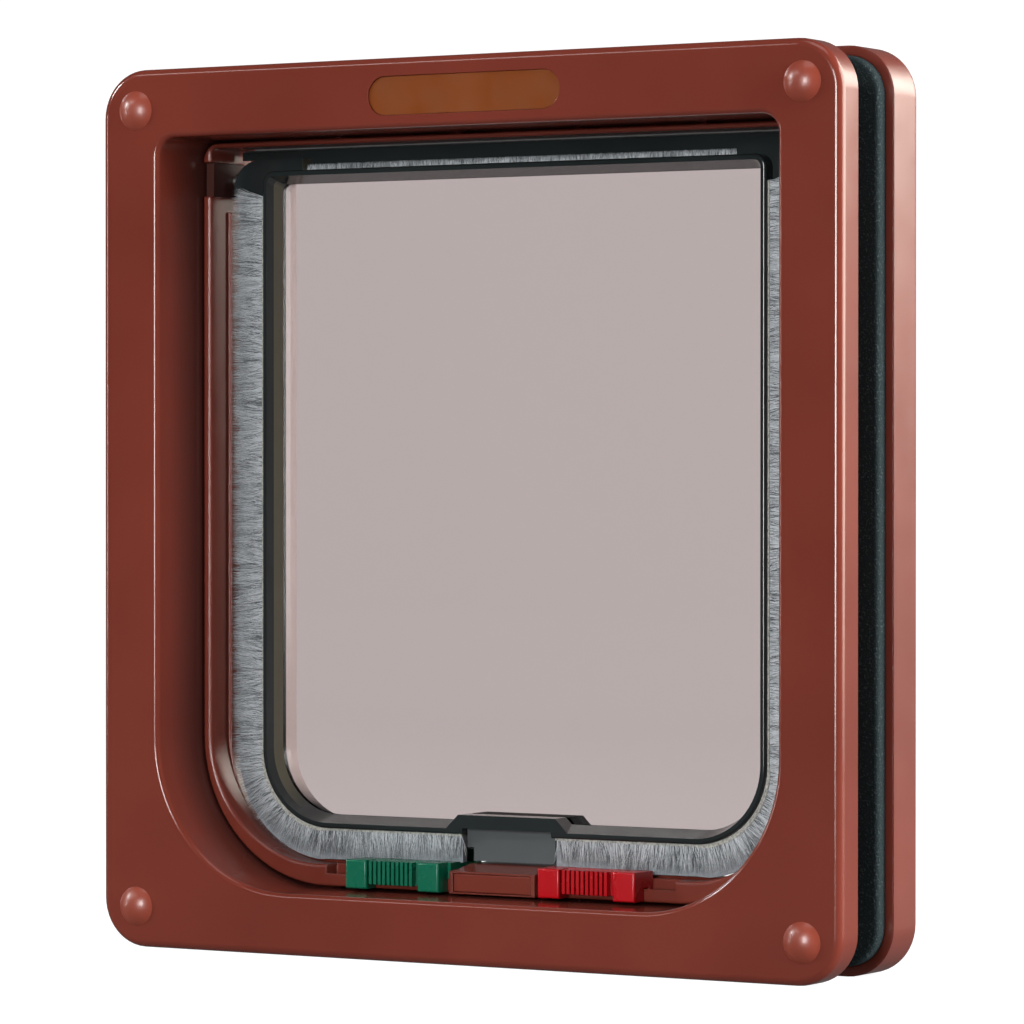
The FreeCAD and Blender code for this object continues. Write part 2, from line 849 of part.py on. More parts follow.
def latch_block():
    """The dark block that hangs below the rim, with a catch notch on each side and a magnet."""
    corners = [
        (-latch_half_width, latch_bottom, latch_round),
        (latch_half_width, latch_bottom, latch_round),
        (latch_half_width, latch_top, 0),
        (-latch_half_width, latch_top, 0),
    ]
    body = front_prism(corners, latch_front, latch_back)
    notch_x = tooth_inner - lock_travel - tooth_reach_gap - latch_notch_room
    notch_top = flap_flange_bottom + latch_notch_room
    far = latch_half_width + overrun
    notch_back = latch_back - latch_catch_wall
    notch_front = latch_front + latch_catch_wall
    left = across_block(-1, notch_x, far, latch_front - overrun, notch_back, 0, notch_top)
    right = across_block(1, notch_x, far, notch_front, latch_back + overrun, 0, notch_top)
    return body.cut([left, right, flap_magnet_shape(magnet_fit, overrun)])


def flap_magnet_shape(fit, below):
    """The magnet, or the pocket for it, open at the bottom of the latch block."""
    half_width_x = flap_magnet_half_width + fit
    half_depth = flap_magnet_half_depth + fit
    top = latch_bottom + magnet_fit + flap_magnet_height + fit
    return block(
        -half_width_x, half_width_x, pivot_depth - half_depth, pivot_depth + half_depth,
        latch_bottom + magnet_fit - below, top,
    )


def flap_magnet():
    """The bar magnet set into the latch block."""
    return flap_magnet_shape(0, 0)


def lock_slider(side):
    """A lock slider: two finger blocks, a ribbed grip, a bar over the lip, an arm and a tooth."""
    left = -slider_outer if side < 0 else slider_inner
    right = left + slider_length
    back = sleeve_front - slider_fit
    parts = []
    for low_x in (left, right - slider_block):
        finger = block(low_x, low_x + slider_block, slider_front, back, slider_bottom, slider_top)
        parts.append(finger.makeFillet(slider_round, edges_at_depth(finger, slider_front)))
    rib_bottom, rib_top = slider_bottom + slider_rib_low_step, slider_top - slider_fit
    for index in range(slider_rib_count):
        low_x = left + slider_block + slider_rib_gap + index * slider_rib_pitch
        front = slider_front + slider_rib_recess
        parts.append(block(low_x, low_x + slider_rib_width, front, back, rib_bottom, rib_top))
    low_x, high_x = left + slider_web_inset, right - slider_web_inset
    web_front = slider_front + slider_web_setback
    parts.append(block(low_x, high_x, web_front, back, rib_bottom, rib_top))
    bar_back = groove_back - slider_fit
    parts.append(across_block(side, tooth_inner, slider_outer, back, bar_back, bar_bottom, bar_top))
    leg_front = lip_back + slider_fit
    leg_bottom = bar_floor - groove_depth + slider_fit
    leg = across_block(side, slider_inner, slider_outer, leg_front, bar_back, leg_bottom, bar_bottom)
    parts.append(leg)
    tooth_front, tooth_back = tooth_span(side)
    parts.append(across_block(side, tooth_inner, tooth_outer, leg_front, tooth_back, bar_bottom, housing_top))
    tooth = across_block(side, tooth_inner, tooth_outer, tooth_front, tooth_back, bar_bottom, tooth_top)
    parts.append(tooth)
    return parts[0].fuse(parts[1:]).removeSplitter()


def across_block(side, near, far, front, back, bottom, top):
    """A block given by its distances from the middle, on one side."""
    low_x, high_x = sorted((side * near, side * far))
    return block(low_x, high_x, front, back, bottom, top)


def comb_edge(points, depth):
    """Saw teeth along a line of points: each pair gets a tip on the line and a root behind it."""
    toothed = []
    for index, (x, z, inward_x, inward_z) in enumerate(points):
        back = depth if index % 2 else 0
        toothed.append((x + inward_x * back, z + inward_z * back))
    return toothed


def side_brush_tips():
    """Points along the tips of the right brush, from its top round the corner to the latch block."""
    centre_x = brush_tips - brush_low_radius
    centre_z = brush_bottom + brush_low_radius
    half_pitch = brush_tooth_pitch / 2
    points = []
    count = int((brush_top - centre_z) / half_pitch)
    for index in range(count):
        points.append((brush_tips, brush_top - index * half_pitch, -1, 0))
    turns = int(brush_low_radius * math.pi / 2 / half_pitch)
    for index in range(turns + 1):
        angle = math.pi / 2 * index / turns
        out_x, out_z = math.cos(angle), -math.sin(angle)
        x, z = centre_x + brush_low_radius * out_x, centre_z + brush_low_radius * out_z
        points.append((x, z, -out_x, -out_z))
    count = int((centre_x - brush_start) / half_pitch)
    for index in range(1, count):
        points.append((centre_x - index * half_pitch, brush_bottom, 0, 1))
    points.append((brush_start, brush_bottom, 0, 1))
    return points


def flap_brush(side):
    """One J-shaped strip of pile, from beside the latch block round the corner to the ear."""
    tips = comb_edge(side_brush_tips(), brush_tooth_depth)
    low = rim_bottom + rim_face
    outline = tips + [(brush_start, low), (rim_half_width - rim_low_radius, low), (0, brush_top)]
    points = [Vector(side * x, brush_front, z) for x, z in outline]
    flat = Part.Face(Part.makePolygon(points + points[:1]))
    pile = flat.extrude(Vector(0, brush_back - brush_front, 0))
    gap = brush_seat_gap
    inside = window(rim_half_width + gap, rim_bottom - gap, rim_top, rim_low_radius + gap, 0)
    front, back = brush_front - overrun, brush_back + overrun
    pile = pile.cut(front_prism(inside, front, back))
    over_tooth = flap_flange_bottom + brush_end_gap
    return pile.cut(across_block(side, 0, trench_outer, front, back, 0, over_tooth))


def top_brush():
    """The short pile strip along the top of the flap."""
    low = rim_top + brush_seat_gap
    high = rim_top + top_brush_rise
    count = int(2 * top_brush_half_width / (brush_tooth_pitch / 2))
    step = 2 * top_brush_half_width / count
    points = [(top_brush_half_width - index * step, high, 0, -1) for index in range(count + 1)]
    outline = comb_edge(points, top_brush_tooth_depth) + [
        (-top_brush_half_width, low),
        (top_brush_half_width, low),
    ]
    front = pane_back - brush_seat_gap - top_brush_thickness
    corners = [Vector(x, front, z) for x, z in outline]
    flat = Part.Face(Part.makePolygon(corners + corners[:1]))
    return flat.extrude(Vector(0, top_brush_thickness, 0))


def build():
    """Every part by name, in the drawing frame."""
    parts = {
        "interior_frame": interior_frame(),
        "badge_plate": badge_plate(),
        "exterior_frame": exterior_frame(),
        "foam_gasket": foam_gasket(),
        "magnet_cover": magnet_cover(),
        "frame_magnet": frame_magnet(),
        "inward_lock_slider": lock_slider(-1),
        "outward_lock_slider": lock_slider(1),
        "flap_frame": flap_frame(),
        "flap_rear_frame": flap_rear_frame(),
        "flap_pane": flap_pane(),
        "flap_brush_left": flap_brush(-1),
        "flap_brush_right": flap_brush(1),
        "flap_brush_top": top_brush(),
        "latch_block": latch_block(),
        "flap_magnet": flap_magnet(),
        "hinge_pin_left": hinge_pin(-1),
        "hinge_pin_right": hinge_pin(1),
        "pivot_clip_left": pivot_clip(-1),
        "pivot_clip_right": pivot_clip(1),
    }
    for corner, (x, z) in screw_places.items():
        parts["screw_cap_" + corner] = screw_cap(x, z)
        parts["fixing_screw_" + corner] = fixing_screw(x, z)
    return parts


def main():
    """Moves each part to the row's origin and writes it."""
    os.makedirs("parts", exist_ok=True)
    for name, shape in build().items():
        shape.translate(Vector(0, -mid_depth, 0))
        solids = shape.Solids
        box = shape.BoundBox
        print(f"{name}: {len(solids)} solid, {box.XLength:.1f} x {box.YLength:.1f} x {box.ZLength:.1f},"
              f" volume {shape.Volume:.0f}, valid {shape.isValid()}")
        shape = solids[0] if len(solids) == 1 else shape
        shape.exportStep(os.path.join("parts", name + ".step"))


main()
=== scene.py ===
# %% [markdown]
# The object is a cat flap for a thin door. An interior frame with a deep mouth and an exterior frame
# grip the door leaf between them, and a foam gasket seals the leaf. In the tunnel hangs a clear flap
# with a smoked rim, a pile brush round three of its sides and a magnetic latch at its lower edge. Two
# coloured sliders in the sill lock it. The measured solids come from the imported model, in metres, and
# they are loaded as a fixed frame. This script dresses them and adds the soft and fine pieces.

# %% Load the frame
import math

import bmesh
import bpy
import numpy as np
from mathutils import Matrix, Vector


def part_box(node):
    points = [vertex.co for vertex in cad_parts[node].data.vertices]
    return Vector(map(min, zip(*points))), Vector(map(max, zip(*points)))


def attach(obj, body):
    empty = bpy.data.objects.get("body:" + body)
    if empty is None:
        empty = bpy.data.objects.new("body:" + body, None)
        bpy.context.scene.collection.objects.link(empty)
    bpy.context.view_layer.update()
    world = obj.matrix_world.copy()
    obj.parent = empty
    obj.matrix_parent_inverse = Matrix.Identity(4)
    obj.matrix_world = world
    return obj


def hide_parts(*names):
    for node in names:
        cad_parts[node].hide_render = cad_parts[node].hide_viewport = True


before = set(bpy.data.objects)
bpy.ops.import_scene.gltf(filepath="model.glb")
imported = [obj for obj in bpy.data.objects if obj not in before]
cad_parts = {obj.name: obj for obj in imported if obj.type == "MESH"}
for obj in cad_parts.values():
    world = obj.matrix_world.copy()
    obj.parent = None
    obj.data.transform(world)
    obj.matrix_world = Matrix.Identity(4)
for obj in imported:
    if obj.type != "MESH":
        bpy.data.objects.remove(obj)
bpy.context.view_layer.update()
MM = 0.001
print("nodes in the frame:", len(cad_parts))

# %% [markdown]
# The picture was taken from the right, a little under half way up the frame, with a long lens that
# keeps the upright edges nearly parallel. A camera is placed by its real position and the point that
# it looks at, so its rotation comes from the direction between the two. The small shift moves the
# picture without tilting the camera, as a view camera does, and the uprights stay upright.

# %% The camera
camera_place = Vector((0.6831, -1.13005, 0.1297))
camera_target = Vector((0.0, -0.00035, 0.1180))
camera_data = bpy.data.cameras.new("camera")
camera_data.lens = 177.1
camera_data.sensor_width = 36.0
camera_data.shift_x = 0.0161
camera_data.shift_y = -0.0021
camera_data.clip_start = 0.01
camera = bpy.data.objects.new("camera", camera_data)
camera.location = camera_place
camera.rotation_euler = (camera_target - camera_place).to_track_quat("-Z", "Y").to_euler()
bpy.context.scene.collection.objects.link(camera)
bpy.context.scene.camera = camera
print("camera distance:", round((camera_target - camera_place).length, 3), "m")

# %% [markdown]
# Every step below starts from a clean selection, because an operator acts on all that is selected
# and the loaded nodes come in selected. A few small helpers do what a hand does in the viewport: they
# clear the selection, work on one piece alone, pick edges or points by a rule, extrude what is picked,
# and write a placed shape or a modifier into the mesh.

# %% Helpers for modelling by hand
def deselect_all():
    """Leaves object mode with nothing selected."""
    if bpy.context.object and bpy.context.object.mode != "OBJECT":
        bpy.ops.object.mode_set(mode="OBJECT")
    bpy.ops.object.select_all(action="DESELECT")


def work_on(piece):
    """Makes one piece the only selected and the active one."""
    deselect_all()
    piece.select_set(True)
    bpy.context.view_layer.objects.active = piece


def pick(piece, domain, rule):
    """Enters edit mode with just those edges or vertices selected that the rule accepts."""
    bpy.ops.object.mode_set(mode="EDIT")
    bpy.ops.mesh.select_mode(type=domain)
    bpy.ops.mesh.select_all(action="DESELECT")
    shape = bmesh.from_edit_mesh(piece.data)
    shape.normal_update()
    for item in {"VERT": shape.verts, "EDGE": shape.edges}[domain]:
        if rule(item):
            item.select = True
    shape.select_flush_mode()
    bmesh.update_edit_mesh(piece.data)


def extrude(x, y, z):
    """Extrudes what is selected by a step along the axes."""
    bpy.ops.mesh.extrude_region_move(TRANSFORM_OT_translate={"value": (x, y, z)})


def face_outward():
    """Selects the whole mesh in edit mode and turns its faces outward."""
    bpy.ops.mesh.select_all(action="SELECT")
    bpy.ops.mesh.normals_make_consistent(inside=False)


def settle(piece):
    """Writes place, turn and size into the mesh, so that the object sits at the origin."""
    work_on(piece)
    bpy.ops.object.transform_apply(location=True, rotation=True, scale=True)


def apply_modifiers(piece):
    """Applies every modifier of a piece, from the first to the last."""
    work_on(piece)
    for modifier in list(piece.modifiers):
        bpy.ops.object.modifier_apply(modifier=modifier.name)


def triangles(piece):
    """How many triangles the mesh of a piece has."""
    return sum(len(face.vertices) - 2 for face in piece.data.polygons)


deselect_all()
print("helpers ready")

# %% [markdown]
# The flap stands on a pale studio sweep: a floor that curves up into a backdrop, so that no line
# shows where they meet. It could be a huge plane, but the low camera would then see its far edge. A
# plane whose back edge is extruded upwards and then bevelled gives the curve in three operators.

# %% The studio sweep
floor_front, floor_back, floor_half_width = -2.6, 1.9, 3.2
backdrop_height = 3.0
sweep_radius = 0.9
sweep_reach = 0.01

deselect_all()
bpy.ops.mesh.primitive_plane_add(size=1.0, location=(0.0, (floor_front + floor_back) / 2, 0.0))
sweep = bpy.context.object
sweep.name = "studio_sweep"
sweep.scale = (2 * floor_half_width, floor_back - floor_front, 1.0)
settle(sweep)
pick(sweep, "EDGE", lambda edge: all(vert.co.y > floor_back - sweep_reach for vert in edge.verts))
extrude(0.0, 0.0, backdrop_height)
pick(sweep, "EDGE", lambda edge: all(
    vert.co.y > floor_back - sweep_reach and vert.co.z < sweep_reach for vert in edge.verts))
bpy.ops.mesh.bevel(offset=sweep_radius, segments=24, affect="EDGES")
face_outward()
bpy.ops.object.mode_set(mode="OBJECT")
bpy.ops.object.shade_smooth()
print("sweep:", len(sweep.data.polygons), "faces")

# %% [markdown]
# The paper of the sweep is nearly white and glows, as if lamps of its own were turned on it. In a
# studio, black cards round the object keep that white out of dark gloss plastic. Here the paper does it
# by itself: only a ray that came straight, or through the clear pane, finds it white. All other rays
# find it dim, and the Light Path node tells them apart.

# %% Paper for the sweep
def new_material(name):
    """A node material with its shader and its node tree."""
    material = bpy.data.materials.new(name)
    material.use_nodes = True
    return material, material.node_tree, material.node_tree.nodes["Principled BSDF"]


def math_node(tree, operation, first, second):
    """One sum on two sockets or numbers."""
    node = tree.nodes.new("ShaderNodeMath")
    node.operation = operation
    for socket, value in zip(node.inputs, (first, second)):
        if isinstance(value, float):
            socket.default_value = value
        else:
            tree.links.new(value, socket)
    return node.outputs["Value"]


def seen_directly(tree):
    """1 for a ray that came straight from the eye or through something clear, otherwise 0."""
    path_kind = tree.nodes.new("ShaderNodeLightPath")
    return math_node(tree, "MAXIMUM", path_kind.outputs["Is Camera Ray"],
                     path_kind.outputs["Is Transmission Ray"])


def between(tree, source, low, high, start=0.0, end=1.0):
    """Turns a value that runs from start to end into one that runs from low to high."""
    spread = tree.nodes.new("ShaderNodeMapRange")
    spread.inputs["From Min"].default_value = start
    spread.inputs["From Max"].default_value = end
    spread.inputs["To Min"].default_value = low
    spread.inputs["To Max"].default_value = high
    tree.links.new(source, spread.inputs["Value"])
    return spread.outputs["Result"]


paper_white, paper_dim, paper_glow_share = 1.3, 0.14, 0.7
paper, paper_tree, paper_shader = new_material("studio_paper")
paper_shader.inputs["Base Color"].default_value = (0.86, 0.86, 0.86, 1.0)
paper_shader.inputs["Roughness"].default_value = 0.95
paper_shader.inputs["Specular IOR Level"].default_value = 0.0
paper_glow = paper_tree.nodes.new("ShaderNodeEmission")
paper_mix = paper_tree.nodes.new("ShaderNodeMixShader")
paper_seen = seen_directly(paper_tree)
paper_tree.links.new(between(paper_tree, paper_seen, paper_dim, paper_white), paper_glow.inputs["Strength"])
paper_tree.links.new(between(paper_tree, paper_seen, 1.0, paper_glow_share), paper_mix.inputs["Fac"])
paper_tree.links.new(paper_shader.outputs["BSDF"], paper_mix.inputs[1])
paper_tree.links.new(paper_glow.outputs["Emission"], paper_mix.inputs[2])
paper_tree.links.new(paper_mix.outputs["Shader"], paper_tree.nodes["Material Output"].inputs["Surface"])
sweep.data.materials.append(paper)
print("paper ready")

# %% [markdown]
# The light is read from the object. The rounded edges flash where they point a little to the right of
# straight ahead, and each dome shows a broad soft glow there, so the large soft box stands in front,
# a touch to the right, and a slim strip nearer by draws the bright line along the fillet. The left wall
# of the mouth faces across that light and stays dark. The outer side walls are bright, though: a box at
# the right fills their colour, and a wide warm wall of light to the right and behind gives their pale
# gloss. A small lamp far to the left makes the crisp glint on each cap, a strip above it draws the line
# along the top edge, and a weak sheet hangs overhead. Lamps that only fill, or only shine, have the
# other of the two turned off.

# %% Studio light
flap_centre = Vector((0.0, 0.0, 0.118))


def soft_box(name, azimuth, elevation, distance, width, height, power):
    """An area lamp at an angle round the flap: azimuth 0 is straight in front, plus is to the right."""
    turn, lift = math.radians(azimuth), math.radians(elevation)
    away = Vector((math.sin(turn) * math.cos(lift), -math.cos(turn) * math.cos(lift), math.sin(lift)))
    lamp_data = bpy.data.lights.new(name, "AREA")
    lamp_data.shape = "RECTANGLE"
    lamp_data.size = width
    lamp_data.size_y = height
    lamp_data.energy = power
    lamp = bpy.data.objects.new(name, lamp_data)
    lamp.location = flap_centre + away * distance
    lamp.rotation_euler = away.to_track_quat("Z", "Y").to_euler()
    lamp.visible_camera = False
    lamp.visible_transmission = False
    bpy.context.scene.collection.objects.link(lamp)
    return lamp


soft_box("front_box", 6.0, 6.0, 2.1, 0.56, 0.95, 33.5)
soft_box("front_strip", 6.0, 3.4, 0.85, 0.14, 0.34, 1.9).visible_diffuse = False
right_wall = soft_box("right_wall", 128.0, 12.0, 1.9, 2.6, 2.2, 128.0)
right_wall.visible_diffuse = False
right_wall.data.color = (1.0, 0.96, 0.85)
soft_box("side_fill", 95.0, 10.0, 1.6, 1.0, 1.4, 66.0).visible_glossy = False
soft_box("left_glint", -65.0, 22.0, 1.8, 0.3, 0.3, 12.0)
soft_box("left_strip", -65.0, 1.0, 1.8, 0.12, 0.5, 4.0)
soft_box("top_strip", -40.0, 34.0, 1.8, 0.6, 0.16, 2.6).visible_diffuse = False
soft_box("top_sheet", 20.0, 75.0, 2.0, 1.2, 1.0, 7.0)

air_for_the_eye, air_dim = 0.98, 0.04
world = bpy.data.worlds.new("studio_air")
world.use_nodes = True
air = world.node_tree
air.nodes["Background"].inputs["Color"].default_value = (1.0, 1.0, 1.0, 1.0)
air_strength = between(air, seen_directly(air), air_dim, air_for_the_eye)
air.links.new(air_strength, air.nodes["Background"].inputs["Strength"])
bpy.context.scene.world = world
bpy.context.scene.view_settings.view_transform = "Standard"

# %% [markdown]
# The loaded solids are loose triangles, so a rounded edge would show each flat facet. Modifiers can
# mend that without touching the mesh. A weld modifier joins the triangles, and a small geometry node
# group keeps the edges that turn by more than a set angle sharp and makes all the rest smooth, as the
# viewport's smooth by angle does. The hard edges get a fine bevel, because no moulded edge is knife sharp
# and a bevel is what catches a line of light. At the end the normals are weighted by area, so that the
# large flat faces stay flat in shading and only the roundings turn.

# %% Smooth the loaded solids
weld_distance = 0.004 * MM
smooth_angle = math.radians(28.0)


def make_smoother():
    """The node group that shades a mesh smooth, and keeps the edges that turn by more than a set angle sharp.
    """
    group = bpy.data.node_groups.new("weld_and_smooth", "GeometryNodeTree")
    group.interface.new_socket("Geometry", in_out="INPUT", socket_type="NodeSocketGeometry")
    group.interface.new_socket("Geometry", in_out="OUTPUT", socket_type="NodeSocketGeometry")
    source = group.nodes.new("NodeGroupInput")
    result = group.nodes.new("NodeGroupOutput")
    all_smooth = group.nodes.new("GeometryNodeSetShadeSmooth")
    all_smooth.domain = "FACE"
    edge_turn = group.nodes.new("GeometryNodeInputMeshEdgeAngle")
    is_sharp = group.nodes.new("FunctionNodeCompare")
    is_sharp.data_type = "FLOAT"
    is_sharp.operation = "GREATER_THAN"
    is_sharp.inputs["B"].default_value = smooth_angle
    sharp = group.nodes.new("GeometryNodeSetShadeSmooth")
    sharp.domain = "EDGE"
    sharp.inputs["Shade Smooth"].default_value = False
    links = group.links
    links.new(source.outputs["Geometry"], all_smooth.inputs["Geometry"])
    links.new(edge_turn.outputs["Unsigned Angle"], is_sharp.inputs["A"])
    links.new(all_smooth.outputs["Geometry"], sharp.inputs["Geometry"])
    links.new(is_sharp.outputs["Result"], sharp.inputs["Selection"])
    links.new(sharp.outputs["Geometry"], result.inputs["Geometry"])
    return group


smoother = make_smoother()


def soften(node, edge_width):
    """Welds a loaded solid, bevels its hard edges and shades it smooth, all as modifiers."""
    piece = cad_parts[node]
    weld = piece.modifiers.new("weld", "WELD")
    weld.merge_threshold = weld_distance
    if edge_width:
        bevel = piece.modifiers.new("fine_edges", "BEVEL")
        bevel.width = edge_width
        bevel.segments = 2
        bevel.limit_method = "ANGLE"
        bevel.angle_limit = math.radians(40.0)
    smooth = piece.modifiers.new("smooth_by_angle", "NODES")
    smooth.node_group = smoother
    weighted = piece.modifiers.new("weighted_normals", "WEIGHTED_NORMAL")
    weighted.mode = "FACE_AREA"
    weighted.weight = 100
    weighted.keep_sharp = True


def dress(node, material, edge_width=0.12 * MM):
    """Gives a loaded solid its finish in every slot, and softens it."""
    soften(node, edge_width)
    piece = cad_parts[node]
    piece.data.materials.clear()
    piece.data.materials.append(material)


print("smoother:", len(smoother.nodes), "nodes")

# %% [markdown]
# Both frames are moulded in a red-brown plastic with a gloss finish. Close up such a surface is never
# a mirror: it has the long soft waves of the mould, called orange peel, a fine grain, and its gloss
# and colour wander a little. Each is one noise, at its real scale in metres on Object coordinates, so
# nothing slides when the flap or a slider moves. The waves and the grain go through two Bump nodes,
# one on the other, because their heights differ by ten times. For the outdoor frame a Bevel node lies
# under both: it turns the normal near an edge as if the edge were a little rounder, as a blunt mould
# leaves it.

# %% Moulded plastic
noise_low, noise_high = 0.3, 0.7


def noise(tree, scale, detail=2.0, stretch=(1.0, 1.0, 1.0)):
    """A noise on Object coordinates. The scale counts ripples per metre."""
    place = tree.nodes.new("ShaderNodeTexCoord")
    mapping = tree.nodes.new("ShaderNodeMapping")
    mapping.inputs["Scale"].default_value = stretch
    texture = tree.nodes.new("ShaderNodeTexNoise")
    texture.inputs["Scale"].default_value = scale
    texture.inputs["Detail"].default_value = detail
    tree.links.new(place.outputs["Object"], mapping.inputs["Vector"])
    tree.links.new(mapping.outputs["Vector"], texture.inputs["Vector"])
    return texture.outputs["Fac"]


def spread_value(tree, source, low, high):
    """Turns a noise into a value that wanders between two numbers."""
    return between(tree, source, low, high, noise_low, noise_high)


def blend_colours(tree, source, dark, light):
    """Turns a noise into a colour between two."""
    ramp = tree.nodes.new("ShaderNodeValToRGB")
    for stop, place, colour in zip(ramp.color_ramp.elements, (noise_low, noise_high), (dark, light)):
        stop.position = place
        stop.color = (*colour, 1.0)
    tree.links.new(source, ramp.inputs["Fac"])
    return ramp.outputs["Color"]


def add_bump(tree, source, distance, strength=1.0, under=None):
    """A bump of a real height, on top of another bump where one is given."""
    bump = tree.nodes.new("ShaderNodeBump")
    bump.inputs["Strength"].default_value = strength
    bump.inputs["Distance"].default_value = distance
    tree.links.new(source, bump.inputs["Height"])
    if under is not None:
        tree.links.new(under, bump.inputs["Normal"])
    return bump.outputs["Normal"]


def moulded_plastic(name, dark, light, gloss_low, gloss_high, round_edge=0.0, peel=0.012 * MM):
    """A moulded plastic whose colour and gloss wander, with orange peel and a fine grain."""
    material, tree, shader = new_material(name)
    tree.links.new(blend_colours(tree, noise(tree, 22.0), dark, light), shader.inputs["Base Color"])
    rough = spread_value(tree, noise(tree, 140.0, 3.0), gloss_low, gloss_high)
    tree.links.new(rough, shader.inputs["Roughness"])
    rounding = None
    if round_edge:
        edge_node = tree.nodes.new("ShaderNodeBevel")
        edge_node.inputs["Radius"].default_value = round_edge
        rounding = edge_node.outputs["Normal"]
    waves = add_bump(tree, noise(tree, 260.0, 1.0), peel, 1.0, rounding)
    fine = add_bump(tree, noise(tree, 5200.0, 2.0), peel / 10, 0.6, waves)
    tree.links.new(fine, shader.inputs["Normal"])
    shader.inputs["IOR"].default_value = 1.5
    return material


def srgb(red, green, blue):
    """A colour as a picture gives it, 0 to 255, turned into the linear light that shaders use."""
    values = [channel / 255 for channel in (red, green, blue)]
    return tuple(v / 12.92 if v < 0.04045 else ((v + 0.055) / 1.055) ** 2.4 for v in values)


def parts_of(material):
    """The node tree and the shader of a finished material, for a change to it."""
    return material.node_tree, material.node_tree.nodes["Principled BSDF"]


print("plastic recipe ready")

# %% [markdown]
# Inside the mouth the walls are moulded against a rubbed core and are duller than the outside, which
# keeps the tunnel dark. A mask tells these walls apart, in the piece's own coordinates: a point right
# of the middle whose face looks left lies on an inner wall, so the product of place and normal is
# below zero there. The mask lowers the gloss on them. The outer walls, where the product is well above
# zero, get a coat with a broad sheen, as a rim has that hands have polished. Where the mouth meets the
# sleeve behind it, a painted shade darkens the walls towards the seam, as the deep corner there gets
# little light.

# %% Brown mouldings
inward_limits = (-0.03, -0.065)
outward_limits = (0.07, 0.105)


def coordinate(tree, kind):
    """The three numbers of a point's place (Object) or of its direction (Normal) on the piece."""
    place = tree.nodes.new("ShaderNodeTexCoord")
    parts = tree.nodes.new("ShaderNodeSeparateXYZ")
    tree.links.new(place.outputs[kind], parts.inputs["Vector"])
    return parts.outputs


def side_walls(tree, limits):
    """1 on the side walls that look outwards, or inwards where the limits are below zero."""
    looks, lies = coordinate(tree, "Normal"), coordinate(tree, "Object")
    return between(tree, math_node(tree, "MULTIPLY", looks["X"], lies["X"]), 0.0, 1.0, *limits)


def tint(tree, shader, share, colour):
    """Lays a second colour over the base colour where the share says."""
    mix = tree.nodes.new("ShaderNodeMix")
    mix.data_type = "RGBA"
    mix.inputs["B"].default_value = (*colour, 1.0)
    tree.links.new(share, mix.inputs["Factor"])
    tree.links.new(shader.inputs["Base Color"].links[0].from_socket, mix.inputs["A"])
    tree.links.new(mix.outputs["Result"], shader.inputs["Base Color"])


def sort_gloss(material, gloss, gloss_inside, coat_outside):
    """Lowers the gloss of a plastic on its inner walls, and lays a broad sheen on its outer walls."""
    tree, shader = parts_of(material)
    inner, outer = side_walls(tree, inward_limits), side_walls(tree, outward_limits)
    tree.links.new(between(tree, inner, gloss, gloss_inside), shader.inputs["Specular IOR Level"])
    tree.links.new(between(tree, outer, 0.0, coat_outside), shader.inputs["Coat Weight"])
    shader.inputs["Coat Roughness"].default_value = 0.3
    shader.inputs["Coat IOR"].default_value = 1.62


frame_middle, mouth_limit_x, mouth_limit_z = 118.0 * MM, 104.0 * MM, 110.0 * MM
mouth_front, mouth_back = -14.0 * MM, -0.5 * MM
# The colour of the painted shade that the walls of the mouth take towards the seam at its back.
seam_shade_colour = srgb(34, 32, 32)


def paint_seam_shade(material, share):
    """Paints shade on the walls of the mouth, darker towards its back, and leaves the outer walls alone."""
    tree, shader = parts_of(material)
    lies = coordinate(tree, "Object")
    across = math_node(tree, "ABSOLUTE", lies["X"], 0.0)
    up = math_node(tree, "ABSOLUTE", math_node(tree, "SUBTRACT", lies["Z"], frame_middle), 0.0)
    inside = math_node(tree, "MULTIPLY", math_node(tree, "LESS_THAN", across, mouth_limit_x),
                       math_node(tree, "LESS_THAN", up, mouth_limit_z))
    deep = between(tree, lies["Y"], 0.0, share, mouth_front, mouth_back)
    tint(tree, shader, math_node(tree, "MULTIPLY", deep, inside), seam_shade_colour)


brown_dark, brown_light = srgb(110, 47, 36), srgb(120, 53, 41)
cap_dark, cap_light = srgb(134, 58, 42), srgb(144, 65, 48)
brown_plastic = moulded_plastic("brown_plastic", brown_dark, brown_light, 0.13, 0.18)
cover_plastic = moulded_plastic("cover_plastic", brown_dark, brown_light, 0.14, 0.2)
cap_plastic = moulded_plastic("cap_plastic", cap_dark, cap_light, 0.32, 0.4)
outdoor_plastic = moulded_plastic("outdoor_plastic", brown_dark, brown_light, 0.18, 0.26, 0.8 * MM)
sort_gloss(brown_plastic, 0.45, 0.12, 0.48)
# Painted shade in the mouth, darker towards its back.
paint_seam_shade(brown_plastic, 0.64)
sort_gloss(outdoor_plastic, 0.5, 0.3, 1.0)
_, cap_shader = parts_of(cap_plastic)
cap_shader.inputs["Coat Weight"].default_value = 0.14
cap_shader.inputs["Coat Roughness"].default_value = 0.12
corner_names = ("upper_left", "upper_right", "lower_left", "lower_right")
dress("interior_frame", brown_plastic)
dress("magnet_cover", cover_plastic)
for corner in corner_names:
    dress("screw_cap_" + corner, cap_plastic)
dress("exterior_frame", outdoor_plastic)
print("moulded pieces dressed: 7")

# %% [markdown]
# The bare plate in the pill-shaped recess is an amber brown with a slightly satin face. It is the same
# kind of moulding as the frame, so the same function makes it with warmer colours.

# %% The plate in its recess
amber_plastic = moulded_plastic("amber_plastic", srgb(108, 52, 12), srgb(126, 62, 16), 0.3, 0.42)
parts_of(amber_plastic)[1].inputs["Specular IOR Level"].default_value = 0.25
dress("badge_plate", amber_plastic, 0.08 * MM)

